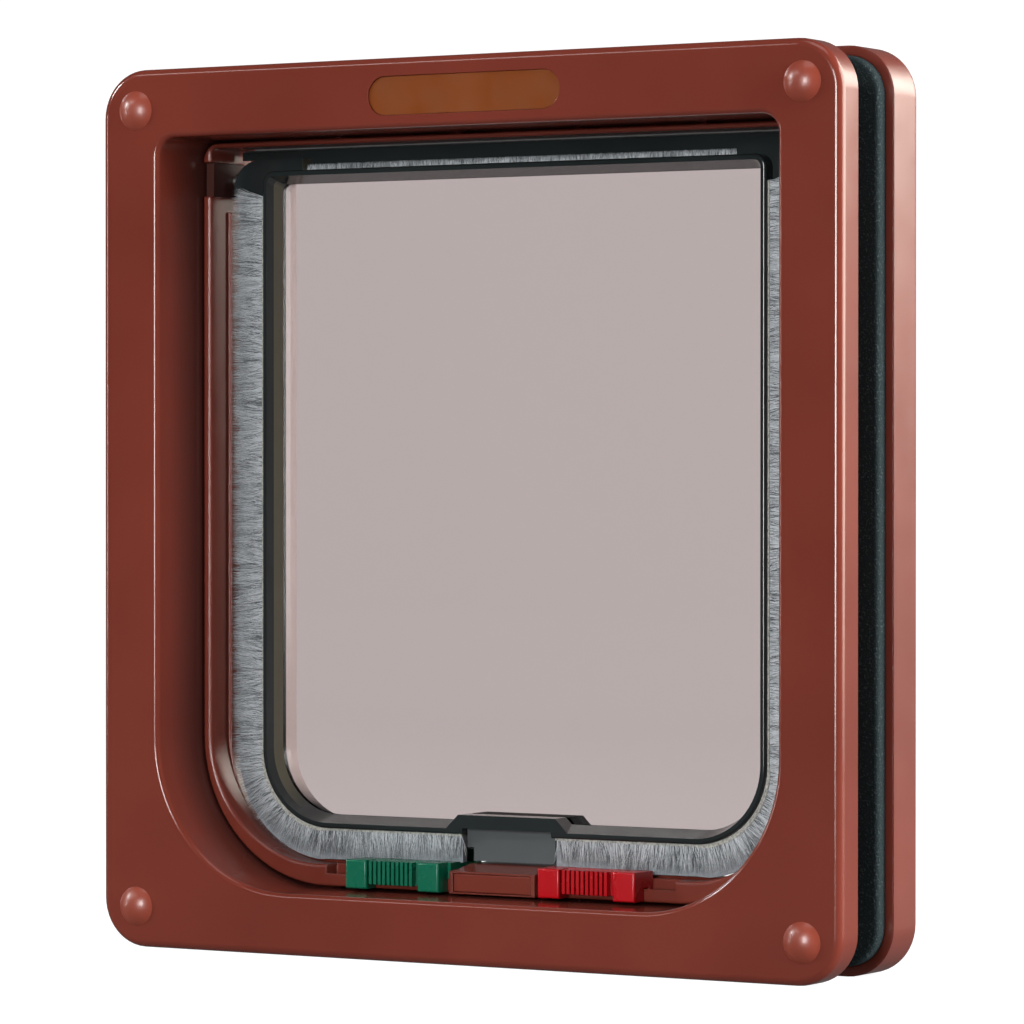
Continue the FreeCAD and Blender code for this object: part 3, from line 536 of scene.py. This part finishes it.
# %% [markdown]
# The rim of the flap is moulded in a smoked plastic, nearly black from outside. Deeper in, its inner
# wall takes the light that comes through the pane, and that light is painted into the colour there as
# an olive tone. One material does both: the mask for inner walls and a second one for the depth let the
# painted olive in. The rear half of the rim carries more of that light, so its inner walls are painted
# paler still and given a faint glow of their own: painted light, as no lamp is there.

# %% Smoked rim with painted light
painted_olive_depth = 7.6 * MM


def smoked_rim(name, painted_light_tone, depth_start):
    """Smoked plastic with painted light: a paler tone on inner side walls deeper than a given depth."""
    material = moulded_plastic(name, srgb(30, 36, 37), srgb(38, 44, 45), 0.12, 0.2)
    tree, shader = parts_of(material)
    deep = math_node(tree, "GREATER_THAN", coordinate(tree, "Object")["Y"], depth_start)
    mask = math_node(tree, "MULTIPLY", side_walls(tree, inward_limits), deep)
    tint(tree, shader, mask, painted_light_tone)
    return material, mask


# Painted light: the olive on the deep inner walls stands for the light that comes through the pane.
smoked_plastic, _ = smoked_rim("smoked_plastic", srgb(92, 88, 72), painted_olive_depth)
# Painted light: the rear rim's inner walls are painted pale, and below they glow faintly, though no lamp is
# there.
rear_plastic, rear_glow_mask = smoked_rim("rear_plastic", srgb(214, 204, 200), 0.0)
rear_tree, rear_shader = parts_of(rear_plastic)
rear_shader.inputs["Emission Color"].default_value = (*srgb(236, 228, 224), 1.0)
rear_tree.links.new(math_node(rear_tree, "MULTIPLY", rear_glow_mask, 0.3), rear_shader.inputs["Emission Strength"])
dress("flap_frame", smoked_plastic)
dress("flap_rear_frame", rear_plastic)
print("rim dressed")

# %% [markdown]
# The pane is a clear sheet with a pinkish grey smoke. Real clear plastic bends light and loses some of
# it on the way through. A shader with full transmission and a tinted base colour does both, and the
# tint is met twice, once at each face. A very weak, wide ripple keeps it from looking like a hole.

# %% The tinted pane
pane_plastic, pane_tree, pane_shader = new_material("pane_plastic")
pane_shader.inputs["Base Color"].default_value = (*srgb(181, 169, 168), 1.0)
pane_shader.inputs["Transmission Weight"].default_value = 1.0
pane_shader.inputs["IOR"].default_value = 1.49
pane_rough = spread_value(pane_tree, noise(pane_tree, 60.0, 2.0), 0.01, 0.05)
pane_tree.links.new(pane_rough, pane_shader.inputs["Roughness"])
pane_ripple = add_bump(pane_tree, noise(pane_tree, 45.0, 1.0), 0.01 * MM)
pane_tree.links.new(pane_ripple, pane_shader.inputs["Normal"])
dress("flap_pane", pane_plastic, 0.1 * MM)

# %% [markdown]
# The latch block is a softer, matt moulding, the pivot clips are a dark slippery nylon and the lock
# sliders are bright gloss plastic, green for one way and red for the other.

# %% Latch, clips and sliders
latch_plastic = moulded_plastic("latch_plastic", srgb(60, 66, 68), srgb(70, 76, 78), 0.5, 0.62)
clip_plastic = moulded_plastic("clip_plastic", srgb(60, 34, 30), srgb(72, 40, 35), 0.35, 0.45)
parts_of(clip_plastic)[1].inputs["Specular IOR Level"].default_value = 0.1
green_plastic = moulded_plastic("green_plastic", srgb(0, 94, 68), srgb(4, 104, 78), 0.22, 0.32)
red_plastic = moulded_plastic("red_plastic", srgb(172, 3, 15), srgb(184, 8, 22), 0.22, 0.32)
dress("latch_block", latch_plastic)
dress("pivot_clip_left", clip_plastic, 0.08 * MM)
dress("pivot_clip_right", clip_plastic, 0.08 * MM)
dress("inward_lock_slider", green_plastic, 0.1 * MM)
dress("outward_lock_slider", red_plastic, 0.1 * MM)

# %% [markdown]
# The hinge pins are drawn steel wire: metal, with fine lines along their length. A noise that is
# stretched a lot along one axis makes the lines. The two magnets are ferrite, a dark grey ceramic with
# a dusty, ground face.

# %% Steel and ferrite
steel, steel_tree, steel_shader = new_material("drawn_steel")
steel_shader.inputs["Metallic"].default_value = 1.0
steel_colour = blend_colours(steel_tree, noise(steel_tree, 300.0, 3.0), (0.46, 0.46, 0.47), (0.6, 0.6, 0.6))
steel_tree.links.new(steel_colour, steel_shader.inputs["Base Color"])
draw_lines = noise(steel_tree, 900.0, 2.0, (0.05, 1.0, 1.0))
steel_tree.links.new(spread_value(steel_tree, draw_lines, 0.22, 0.4), steel_shader.inputs["Roughness"])
steel_tree.links.new(add_bump(steel_tree, draw_lines, 0.004 * MM), steel_shader.inputs["Normal"])

ferrite, ferrite_tree, ferrite_shader = new_material("ferrite")
ferrite_tone = noise(ferrite_tree, 700.0, 4.0)
ferrite_colour = blend_colours(ferrite_tree, ferrite_tone, (0.035, 0.036, 0.038), (0.06, 0.06, 0.062))
ferrite_tree.links.new(ferrite_colour, ferrite_shader.inputs["Base Color"])
ferrite_shader.inputs["Roughness"].default_value = 0.62
ferrite_grain = add_bump(ferrite_tree, noise(ferrite_tree, 3000.0, 3.0), 0.02 * MM)
ferrite_tree.links.new(ferrite_grain, ferrite_shader.inputs["Normal"])
for node in ("hinge_pin_left", "hinge_pin_right"):
    dress(node, steel, 0.0)
for node in ("frame_magnet", "flap_magnet"):
    dress(node, ferrite)
print("finishes:", len(bpy.data.materials))

# %% [markdown]
# Three strips of pile close the slot round the flap. Two follow the sides and turn round the lower
# corners to the latch block, and a short one stands along the top. A real strip is a woven backing
# with many thousands of nylon hairs. Blender's own hair is not a mesh, so the export would lose it. One
# hair is modelled by hand and copied with a seeded lean, length and turn. It is only a thin spike with
# three faces, because there are tens of thousands of it and each is finer than a pixel.

# %% One hair
hair_sides = 3
hair_thickness = 0.27 * MM

deselect_all()
bpy.ops.mesh.primitive_cone_add(vertices=hair_sides, radius1=0.5, radius2=0.0, depth=1.0,
                                end_fill_type="NOTHING", location=(0.0, 0.0, 0.5))
hair = bpy.context.object
hair.name = "one_hair"
settle(hair)
hair_points = np.array([vert.co for vert in hair.data.vertices])
hair_faces = np.array([tuple(face.vertices) for face in hair.data.polygons])
bpy.data.objects.remove(hair)
print("one hair:", len(hair_points), "points,", len(hair_faces), "faces")

# %% [markdown]
# The root line is worked out from the loaded solids. It runs down beside the rim, round the lower
# corner as an arc, and along to the latch block. Each place on it has a point and the direction that
# the hairs take, square to the rim. The hairs end just short of the draught ridge at the sides and of
# the sill below, and a little higher where the arms of the lock sliders pass under them.

# %% The root line of a side strip
brush_low, brush_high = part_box("flap_brush_left")
_, latch_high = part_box("latch_block")

root_half_width = 77.35 * MM
root_bottom = 31.9 * MM
root_corner = 21.0 * MM
root_inner = latch_high.x + 0.9 * MM
root_top = brush_high.z - 0.3 * MM
side_reach = -brush_low.x - root_half_width
sill_reach = root_bottom - 23.5 * MM
arm_reach = root_bottom - 24.38 * MM
arm_end = 30.8 * MM
side_depths = (brush_low.y, brush_high.y)


def root_line(step):
    """Points and outward directions down the right side, round the corner and along the bottom."""
    places = []
    down = root_top - (root_bottom + root_corner)
    for index in range(int(down / step)):
        places.append((root_half_width, root_top - index * step, 1.0, 0.0))
    for index in range(int(root_corner * math.pi / 2 / step)):
        angle = index * step / root_corner
        x = root_half_width - root_corner + root_corner * math.cos(angle)
        z = root_bottom + root_corner - root_corner * math.sin(angle)
        places.append((x, z, math.cos(angle), -math.sin(angle)))
    along = root_half_width - root_corner - root_inner
    for index in range(int(along / step) + 1):
        places.append((root_half_width - root_corner - index * step, root_bottom, 0.0, -1.0))
    return places


def reach_of_side(here):
    """How far the hairs reach at each place: furthest at the side, less below, least over the arms."""
    below = np.where(here[:, 0] < arm_end, arm_reach, sill_reach)
    return np.sqrt((side_reach * here[:, 2]) ** 2 + (below * here[:, 3]) ** 2)


print("root line of one side:", len(root_line(MM)), "mm, hairs", round(side_reach * 1000, 1), "mm")

# %% [markdown]
# The hairs are planted on that line at random, through the thickness of the strip and closer together
# at its front. Many are short, so that tips show all over the strip and give it the nap of a felt. Pile
# lies in locks, so neighbours lean alike: slow waves along the line give the lean of a lock, and a
# random draw adds each hair's own. Every hair also gets a tone of its own, kept as an attribute on its
# points for the finish to read. All draws come from one seeded source.

# %% Plant the hairs
lock_lean, own_lean, depth_lean = 0.12, 0.16, 0.07
lock_wave, lock_drift, fine_wave = 0.19, 0.041, 0.57
shortest_hair, short_hairs, front_hairs = 0.3, 1.5, 1.8
root_margin = 0.04
front_bulge = 0.1 * MM
root_step = 0.5 * MM


def plant(name, places, count, reach_at, depths, side, seed):
    """A mesh piece with many copies of the hair along a line of places."""
    draw = np.random.default_rng(seed)
    spots = np.array(places)
    index = draw.uniform(0, len(spots) - 1, count)
    low = index.astype(int)
    share = (index - low)[:, None]
    here = spots[low] * (1 - share) + spots[low + 1] * share
    waves = np.sin(index * lock_wave + 2.2 * np.sin(index * lock_drift))
    waves += 0.6 * np.sin(index * fine_wave + 1.3)
    lean = waves * lock_lean + draw.normal(0.0, own_lean, count)
    front, back = depths
    depth_share = draw.uniform(0.0, 1.0, count) ** front_hairs
    direction = np.stack([here[:, 2] - here[:, 3] * lean, draw.normal(0.0, depth_lean, count),
                          here[:, 3] + here[:, 2] * lean], axis=1)
    direction /= np.linalg.norm(direction, axis=1)[:, None]
    length_share = 1.0 - (1.0 - shortest_hair) * draw.uniform(0.0, 1.0, count) ** short_hairs
    length = reach_at(here) * length_share / np.sqrt(1.0 + lean ** 2 * 0.5)
    sideways = np.cross(direction, np.array([0.0, 1.0, 0.0]))
    sideways /= np.linalg.norm(sideways, axis=1)[:, None]
    upright = np.cross(direction, sideways)
    turn = draw.uniform(0, 2 * math.pi, count)[:, None]
    first = (sideways * np.cos(turn) + upright * np.sin(turn)) * hair_thickness
    second = np.cross(direction, first)
    root_depth = front + (back - front) * (root_margin + (1.0 - 2 * root_margin) * depth_share)
    root = np.stack([here[:, 0], root_depth, here[:, 1]], axis=1)
    points = (root[:, None, :]
              + first[:, None, :] * hair_points[None, :, 0, None]
              + second[:, None, :] * hair_points[None, :, 1, None]
              + direction[:, None, :] * (hair_points[None, :, 2] * length[:, None])[:, :, None])
    points = points.reshape(-1, 3)
    points[:, 1] = np.clip(points[:, 1], front - front_bulge, back)
    points[:, 0] *= side
    pattern = hair_faces if side > 0 else hair_faces[:, ::-1]
    starts = np.arange(count)[:, None, None] * len(hair_points)
    faces = (starts + pattern[None, :, :]).reshape(-1, pattern.shape[1])
    mesh = bpy.data.meshes.new(name)
    mesh.from_pydata(points.tolist(), [], faces.tolist())
    tone = mesh.attributes.new("hair_tone", "FLOAT", "POINT")
    tone.data.foreach_set("value", np.repeat(draw.uniform(0, 1, count), len(hair_points)).astype(np.float32))
    mesh.update()
    piece = bpy.data.objects.new(name, mesh)
    bpy.context.scene.collection.objects.link(piece)
    return piece


print("hair thickness:", round(hair_thickness * 1000, 2), "mm at the root")

# %% [markdown]
# Nylon pile is a cool grey with a soft shine. Hairs differ in tone, some nearly white and some in
# shadow. The finish reads the tone that each hair was given, and a slow noise makes whole locks
# lighter or darker.

# %% Pile finish
pile_fibre, pile_tree, pile_shader = new_material("pile_fibre")
hair_tone = pile_tree.nodes.new("ShaderNodeAttribute")
hair_tone.attribute_name = "hair_tone"
lock_tone = math_node(pile_tree, "MULTIPLY", noise(pile_tree, 230.0, 3.0), 0.45)
own_tone = math_node(pile_tree, "MULTIPLY", hair_tone.outputs["Fac"], 0.7)
pile_tone = math_node(pile_tree, "ADD", lock_tone, own_tone)
pile_colour = blend_colours(pile_tree, pile_tone, srgb(70, 76, 81), srgb(206, 212, 216))
pile_tree.links.new(pile_colour, pile_shader.inputs["Base Color"])
pile_shader.inputs["Roughness"].default_value = 0.5
pile_shader.inputs["Sheen Weight"].default_value = 0.3
pile_shader.inputs["Sheen Roughness"].default_value = 0.4

# Partly the real dense body of the pile, partly painted shade: its grey stands for the shade between the
# hairs.
pile_body_and_shade, core_tree, core_shader = new_material("pile_body_and_shade")
body_and_shade_tone = blend_colours(core_tree, noise(core_tree, 900.0, 3.0), srgb(122, 128, 134), srgb(146, 152, 157))
core_tree.links.new(body_and_shade_tone, core_shader.inputs["Base Color"])
core_shader.inputs["Roughness"].default_value = 0.85

backing_weave, backing_tree, backing_shader = new_material("backing_weave")
thread_noise = noise(backing_tree, 1500.0)
thread_tone = blend_colours(backing_tree, thread_noise, srgb(128, 130, 126), srgb(206, 206, 196))
backing_tree.links.new(thread_tone, backing_shader.inputs["Base Color"])
backing_tree.links.new(add_bump(backing_tree, thread_noise, 0.05 * MM), backing_shader.inputs["Normal"])
backing_shader.inputs["Roughness"].default_value = 0.7
print("pile finishes ready")

# %% [markdown]
# Under the hairs lies the body of the strip, where they are too dense for light. It is a square profile
# that follows the root line, in a grey that is partly the dense pile itself and partly painted shade for
# the gaps between the hairs. Three moves of a hand make it: the profile is extruded down the side,
# spun a quarter turn round the corner and extruded along the bottom, a little lower where the arm of
# the lock slider passes under it. The woven backing is the same shape, only narrower and nearer the
# front. A curve with a bevel would do too, but it turns the profile at its own will in the corner. The
# left side is the right side mirrored through the middle.

# %% The band under the hairs and the backing
corner_steps = 14
corner_start = 0.5 * MM
corner_outer_share = 0.9
corner_swell = 0.4 * MM
arm_slope = 0.4 * MM
touch = 0.01 * MM


def profile(name, low, high):
    """A flat rectangle between two corners, ready in edit mode with its face selected."""
    deselect_all()
    middle = [(first + second) / 2 for first, second in zip(low, high)]
    bpy.ops.mesh.primitive_plane_add(size=1.0, location=middle)
    piece = bpy.context.object
    piece.name = name
    piece.scale = (high[0] - low[0], high[1] - low[1], 1.0)
    settle(piece)
    bpy.ops.object.mode_set(mode="EDIT")
    bpy.ops.mesh.select_mode(type="FACE")
    bpy.ops.mesh.select_all(action="SELECT")
    return piece


def close_up(piece, material):
    """Merges double points, turns all faces outward and gives the finish."""
    bpy.ops.mesh.select_all(action="SELECT")
    bpy.ops.mesh.remove_doubles(threshold=touch)
    face_outward()
    bpy.ops.object.mode_set(mode="OBJECT")
    piece.data.materials.append(material)


def side_band(name, inner, outer, outer_over_arm, depths, side, material):
    """A band along the root line of a side strip, between two reaches and two depths."""
    front, back = depths
    corner_x, corner_z = root_half_width - root_corner, root_bottom + root_corner
    inner_corner = (root_half_width + inner, front, root_top)
    piece = profile(name, inner_corner, (root_half_width + outer, back, root_top))
    extrude(0.0, 0.0, corner_z - root_top)
    bpy.ops.mesh.spin(steps=corner_steps, angle=-math.pi / 2, axis=(0.0, 1.0, 0.0),
                      center=(corner_x, 0.0, corner_z))
    extrude(arm_end - corner_x, 0.0, 0.0)
    extrude(-arm_slope, 0.0, 0.0)
    bpy.ops.transform.resize(value=(1.0, 1.0, outer_over_arm / outer),
                             center_override=(0.0, 0.0, root_bottom))
    extrude(root_inner + arm_slope - arm_end, 0.0, 0.0)
    swell_radius = root_corner + corner_outer_share * outer
    pick(piece, "VERT", lambda vert: vert.co.x > corner_x + corner_start
         and vert.co.z < corner_z - corner_start
         and math.hypot(vert.co.x - corner_x, vert.co.z - corner_z) > swell_radius)
    bpy.ops.transform.translate(value=(corner_swell, 0.0, -corner_swell))
    if side < 0:
        bpy.ops.mesh.select_all(action="SELECT")
        bpy.ops.transform.mirror(constraint_axis=(True, False, False), center_override=(0.0, 0.0, 0.0))
    close_up(piece, material)
    return piece


def join_to(piece, others):
    """Joins pieces into the first one."""
    deselect_all()
    for other in others + [piece]:
        other.select_set(True)
    bpy.context.view_layer.objects.active = piece
    bpy.ops.object.join()


knot_pitch = 1.25 * MM
knot_radius = 0.2 * MM


def knot_row(name, places, depth, reach, side):
    """The stitches of the backing: one small ball, modelled once and copied along the strip."""
    deselect_all()
    bpy.ops.mesh.primitive_ico_sphere_add(subdivisions=1, radius=knot_radius)
    ball = bpy.context.object
    ball_points = np.array([vert.co for vert in ball.data.vertices])
    ball_faces = [list(face.vertices) for face in ball.data.polygons]
    bpy.data.objects.remove(ball)
    points, faces = [], []
    for x, z, out_x, out_z in places:
        centre = np.array([side * (x + out_x * reach), depth, z + out_z * reach])
        faces += [[len(points) + corner for corner in face] for face in ball_faces]
        points += (ball_points + centre).tolist()
    mesh = bpy.data.meshes.new(name)
    mesh.from_pydata(points, [], faces)
    mesh.materials.append(backing_weave)
    piece = bpy.data.objects.new(name, mesh)
    bpy.context.scene.collection.objects.link(piece)
    return piece


core_reach, core_over_arm, core_setback = 8.15 * MM, 7.42 * MM, 0.55 * MM
core_back_gap, backing_back_gap = 0.1 * MM, 0.15 * MM
backing_tuck, backing_width, backing_stand = 0.05 * MM, 0.45 * MM, 0.25 * MM
side_hair_count = 34000


def side_strip(name, side, seed, node):
    """A side strip: hairs, the band under them and the woven backing with its stitches."""
    front, back = side_depths
    strip = plant(name, root_line(root_step), side_hair_count, reach_of_side, side_depths, side, seed)
    strip.data.materials.append(pile_fibre)
    band_depths = (front + core_setback, back - core_back_gap)
    core = side_band(name + "_core", 0.0, core_reach, core_over_arm, band_depths, side, pile_body_and_shade)
    weave_depths = (front - backing_stand, back - backing_back_gap)
    weave = side_band(
        name + "_backing", -backing_tuck, backing_width, backing_width, weave_depths, side, backing_weave)
    knots = knot_row(
        name + "_stitches", root_line(knot_pitch), front - backing_stand, backing_width / 2, side)
    join_to(strip, [core, weave, knots])
    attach(strip, "flap")
    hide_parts(node)
    return strip


left_strip = side_strip("pile_strip_left", -1, 11, "flap_brush_left")
right_strip = side_strip("pile_strip_right", 1, 23, "flap_brush_right")
print("side strips:", triangles(left_strip), triangles(right_strip), "triangles")

# %% [markdown]
# The strip along the top is narrower and points straight up at the lintel. The same hair and the same
# planting make it, along a straight line on top of the rim.

# %% The top strip
top_low, top_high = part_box("flap_brush_top")
top_depths = (top_low.y, top_high.y)
top_hair_count = 14000
top_reach = top_high.z - top_low.z + 0.15 * MM
top_core_setback, top_core_share = 0.35 * MM, 0.7


def straight_line(start, end, height):
    """Places for hairs that stand upwards on a straight line along X."""
    return [(start + index * root_step, height, 0.0, 1.0)
            for index in range(int((end - start) / root_step) + 1)]


top_strip = plant("pile_strip_top", straight_line(top_low.x, top_high.x, top_low.z), top_hair_count,
                  lambda here: np.full(len(here), top_reach), top_depths, 1, 37)
top_strip.data.materials.append(pile_fibre)
top_core = profile("top_core", (top_low.x, top_low.y + top_core_setback, top_low.z),
                   (top_high.x, top_high.y - core_back_gap, top_low.z))
extrude(0.0, 0.0, top_reach * top_core_share)
close_up(top_core, pile_body_and_shade)
join_to(top_strip, [top_core])
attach(top_strip, "flap")
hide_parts("flap_brush_top")
print("top strip:", triangles(top_strip), "triangles")

# %% [markdown]
# Above the top strip stands the fin of the rear rim, with a narrow gap to the lintel. A row of very
# short dark pile on its edge closes that gap against draught and light. It is the same planting again,
# with shorter and darker hairs. They stand near the plane of the pins, so their tips clear the lintel
# when the flap swings.

# %% The dark pile on the fin
fin_low, fin_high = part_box("flap_rear_frame")
dark_fibre, dark_tree, dark_shader = new_material("dark_fibre")
dark_colour = blend_colours(dark_tree, noise(dark_tree, 600.0, 3.0), srgb(30, 34, 35), srgb(52, 56, 58))
dark_tree.links.new(dark_colour, dark_shader.inputs["Base Color"])
dark_shader.inputs["Roughness"].default_value = 0.7
fin_half_width = 88.0 * MM
fin_pile_reach = 0.54 * MM
fin_root = fin_high.z - 0.1 * MM
fin_depths = (fin_low.y + 0.1 * MM, fin_low.y + 1.0 * MM)
fin_core_front, fin_core_reach = fin_low.y + 0.4 * MM, 0.49 * MM
fin_hair_count = 5000
fin_pile = plant("pile_on_fin", straight_line(-fin_half_width, fin_half_width, fin_root), fin_hair_count,
                 lambda here: np.full(len(here), fin_pile_reach), fin_depths, 1, 51)
fin_pile.data.materials.append(dark_fibre)
fin_core = profile("fin_core", (-fin_half_width, fin_core_front, fin_root),
                   (fin_half_width, fin_depths[1], fin_root))
extrude(0.0, 0.0, fin_core_reach)
close_up(fin_core, dark_fibre)
join_to(fin_pile, [fin_core])
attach(fin_pile, "flap")
print("fin pile:", triangles(fin_pile), "triangles")

# %% [markdown]
# The gasket is a ring of dark closed-cell foam, cut from sheet, that the outdoor frame presses on the
# door. Its front edge is soft and a little round. A plane with rounded corners is extruded to a plate and
# its front edge is bevelled. Then a block takes out the middle and four cylinders punch the holes for
# the screws, each with a Boolean, as the knife and the punch do on the real sheet. An inset would give
# the ring at once, but the ring is wider than its corners are round and would cross itself there.

# %% The foam ring
foam_low, foam_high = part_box("foam_gasket")
foam_corner = 10.35 * MM
foam_width = 11.0 * MM
foam_edge = 1.3 * MM
cutter_length = 0.1
screw_radius = 2.0 * MM
punch_clearance = 0.3 * MM
soft_angle = math.radians(35.0)
foam_middle = (foam_low + foam_high) / 2

deselect_all()
bpy.ops.mesh.primitive_plane_add(size=1.0, location=(foam_middle.x, foam_low.y, foam_middle.z),
                                 rotation=(math.pi / 2, 0.0, 0.0))
foam = bpy.context.object
foam.name = "foam_ring"
foam.scale = (foam_high.x - foam_low.x, foam_high.z - foam_low.z, 1.0)
settle(foam)
pick(foam, "VERT", lambda vert: True)
bpy.ops.mesh.bevel(offset=foam_corner, segments=10, affect="VERTICES")
bpy.ops.mesh.select_all(action="SELECT")
extrude(0.0, foam_high.y - foam_low.y, 0.0)
face_outward()
pick(foam, "EDGE", lambda edge: all(vert.co.y < foam_low.y + touch for vert in edge.verts))
bpy.ops.mesh.bevel(offset=foam_edge, segments=4, affect="EDGES")
bpy.ops.object.mode_set(mode="OBJECT")


def take_out(piece, cutter):
    """Cuts a settled cutter out of a piece and removes it."""
    cut = piece.modifiers.new("cut", "BOOLEAN")
    cut.object = cutter
    cut.solver = "EXACT"
    apply_modifiers(piece)
    bpy.data.objects.remove(cutter)


deselect_all()
bpy.ops.mesh.primitive_cube_add(size=1.0, location=foam_middle, scale=(
    foam_high.x - foam_low.x - 2 * foam_width, cutter_length, foam_high.z - foam_low.z - 2 * foam_width))
opening = bpy.context.object
settle(opening)
take_out(foam, opening)
screw_places = {}
for corner in corner_names:
    box_low, box_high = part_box("fixing_screw_" + corner)
    screw_places[corner] = (box_low + box_high) / 2
    deselect_all()
    bpy.ops.mesh.primitive_cylinder_add(
        vertices=24, radius=screw_radius + punch_clearance, depth=cutter_length,
        location=screw_places[corner], rotation=(math.pi / 2, 0.0, 0.0))
    punch = bpy.context.object
    settle(punch)
    take_out(foam, punch)
work_on(foam)
bpy.ops.object.shade_smooth_by_angle(angle=soft_angle)
print("foam ring:", triangles(foam), "triangles,", round(foam_middle.z * 1000, 1), "mm middle height")

# %% [markdown]
# Foam has open pits where the knife cut its cells. They are a fraction of a millimetre wide and show as
# pale specks on a dark, matt face. A fine Voronoi makes the cells: its distance feeds a bump for the
# pits, and the same pattern makes the rims of the cells paler.

# %% Foam finish
foam_skin, foam_tree, foam_shader = new_material("foam_skin")
foam_place = foam_tree.nodes.new("ShaderNodeTexCoord")
foam_cells = foam_tree.nodes.new("ShaderNodeTexVoronoi")
foam_cells.inputs["Scale"].default_value = 2200.0
foam_tree.links.new(foam_place.outputs["Object"], foam_cells.inputs["Vector"])
cell_rims = math_node(foam_tree, "MULTIPLY", foam_cells.outputs["Distance"], noise(foam_tree, 1400.0, 2.0))
foam_colour = blend_colours(foam_tree, cell_rims, srgb(36, 46, 48), srgb(84, 96, 98))
foam_tree.links.new(foam_colour, foam_shader.inputs["Base Color"])
foam_bump = add_bump(foam_tree, foam_cells.outputs["Distance"], 0.12 * MM)
foam_tree.links.new(foam_bump, foam_shader.inputs["Normal"])
foam_shader.inputs["Roughness"].default_value = 0.9
foam_shader.inputs["Specular IOR Level"].default_value = 0.25
foam.data.materials.append(foam_skin)
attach(foam, "frames")
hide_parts("foam_gasket")
print("foam dressed")

# %% [markdown]
# Four long screws pull the two frames together. The solid model has them as plain rods, and a real one
# has a thread all along and a cross in its head. The thread is one small triangle that a Screw modifier
# winds round the axis, a pitch further with each turn. The head is a cylinder with a bevelled edge, and
# the cross is cut by two crossed blocks. One screw is made, and the other three are copies of it.

# %% A threaded screw
screw_low, screw_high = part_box("fixing_screw_" + corner_names[0])
screw_face, screw_tip = screw_low.y, screw_high.y
head_radius = (screw_high.x - screw_low.x) / 2
head_round, tip_chamfer = 0.85 * MM, 0.6 * MM
screw_seat = screw_face + 2.6 * MM
thread_pitch = 1.0 * MM
thread_core = 1.5 * MM
thread_margin = 0.05 * MM
seat_overlap = 0.1 * MM
cross_length, cross_width, cross_depth = 4.4 * MM, 0.95 * MM, 1.3 * MM


def cylinder(name, radius, front, back, sides=32):
    """A round bar along Y at the origin."""
    deselect_all()
    bpy.ops.mesh.primitive_cylinder_add(vertices=sides, radius=radius, depth=back - front,
                                        location=(0.0, (front + back) / 2, 0.0),
                                        rotation=(math.pi / 2, 0.0, 0.0))
    piece = bpy.context.object
    piece.name = name
    settle(piece)
    return piece


screw = cylinder("screw_master", head_radius, screw_face, screw_seat)
pick(screw, "EDGE", lambda edge: all(vert.co.y < screw_face + touch for vert in edge.verts))
bpy.ops.mesh.bevel(offset=head_round, segments=4, affect="EDGES")
bpy.ops.object.mode_set(mode="OBJECT")
for length, height in ((cross_length, cross_width), (cross_width, cross_length)):
    deselect_all()
    bpy.ops.mesh.primitive_cube_add(size=1.0, location=(0.0, screw_face, 0.0),
                                    scale=(length, 2 * cross_depth, height))
    blade = bpy.context.object
    settle(blade)
    take_out(screw, blade)

core_bar = cylinder("core_bar", thread_core, screw_seat - seat_overlap, screw_tip, 24)
pick(core_bar, "EDGE", lambda edge: all(vert.co.y > screw_tip - touch for vert in edge.verts))
bpy.ops.mesh.bevel(offset=tip_chamfer, segments=2, affect="EDGES")
bpy.ops.object.mode_set(mode="OBJECT")

deselect_all()
bpy.ops.mesh.primitive_circle_add(vertices=3, radius=1.0, fill_type="NGON")
thread = bpy.context.object
thread.name = "thread"
thread_root, thread_half = thread_core - seat_overlap, thread_pitch * 0.4
corners = ((thread_root, -thread_half), (screw_radius - thread_margin, 0.0), (thread_root, thread_half))
for vert, (out, along) in zip(thread.data.vertices, corners):
    vert.co = (out, along + screw_seat + thread_pitch, 0.0)
winding = thread.modifiers.new("winding", "SCREW")
winding.axis = "Y"
winding.screw_offset = thread_pitch
winding.iterations = int((screw_tip - screw_seat) / thread_pitch) - 2
winding.steps = 16
winding.render_steps = 16
winding.use_merge_vertices = True
apply_modifiers(thread)
join_to(screw, [core_bar, thread])
bpy.ops.object.mode_set(mode="EDIT")
face_outward()
bpy.ops.object.mode_set(mode="OBJECT")
bpy.ops.object.shade_smooth_by_angle(angle=soft_angle)
screw.data.materials.clear()
screw.data.materials.append(steel)

for corner, place in screw_places.items():
    work_on(screw)
    bpy.ops.object.duplicate()
    fitted = bpy.context.object
    fitted.name = "threaded_screw_" + corner
    fitted.location = (place.x, 0.0, place.z)
    settle(fitted)
    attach(fitted, "frames")
    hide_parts("fixing_screw_" + corner)
print("one screw:", triangles(screw), "triangles")
bpy.data.objects.remove(screw)
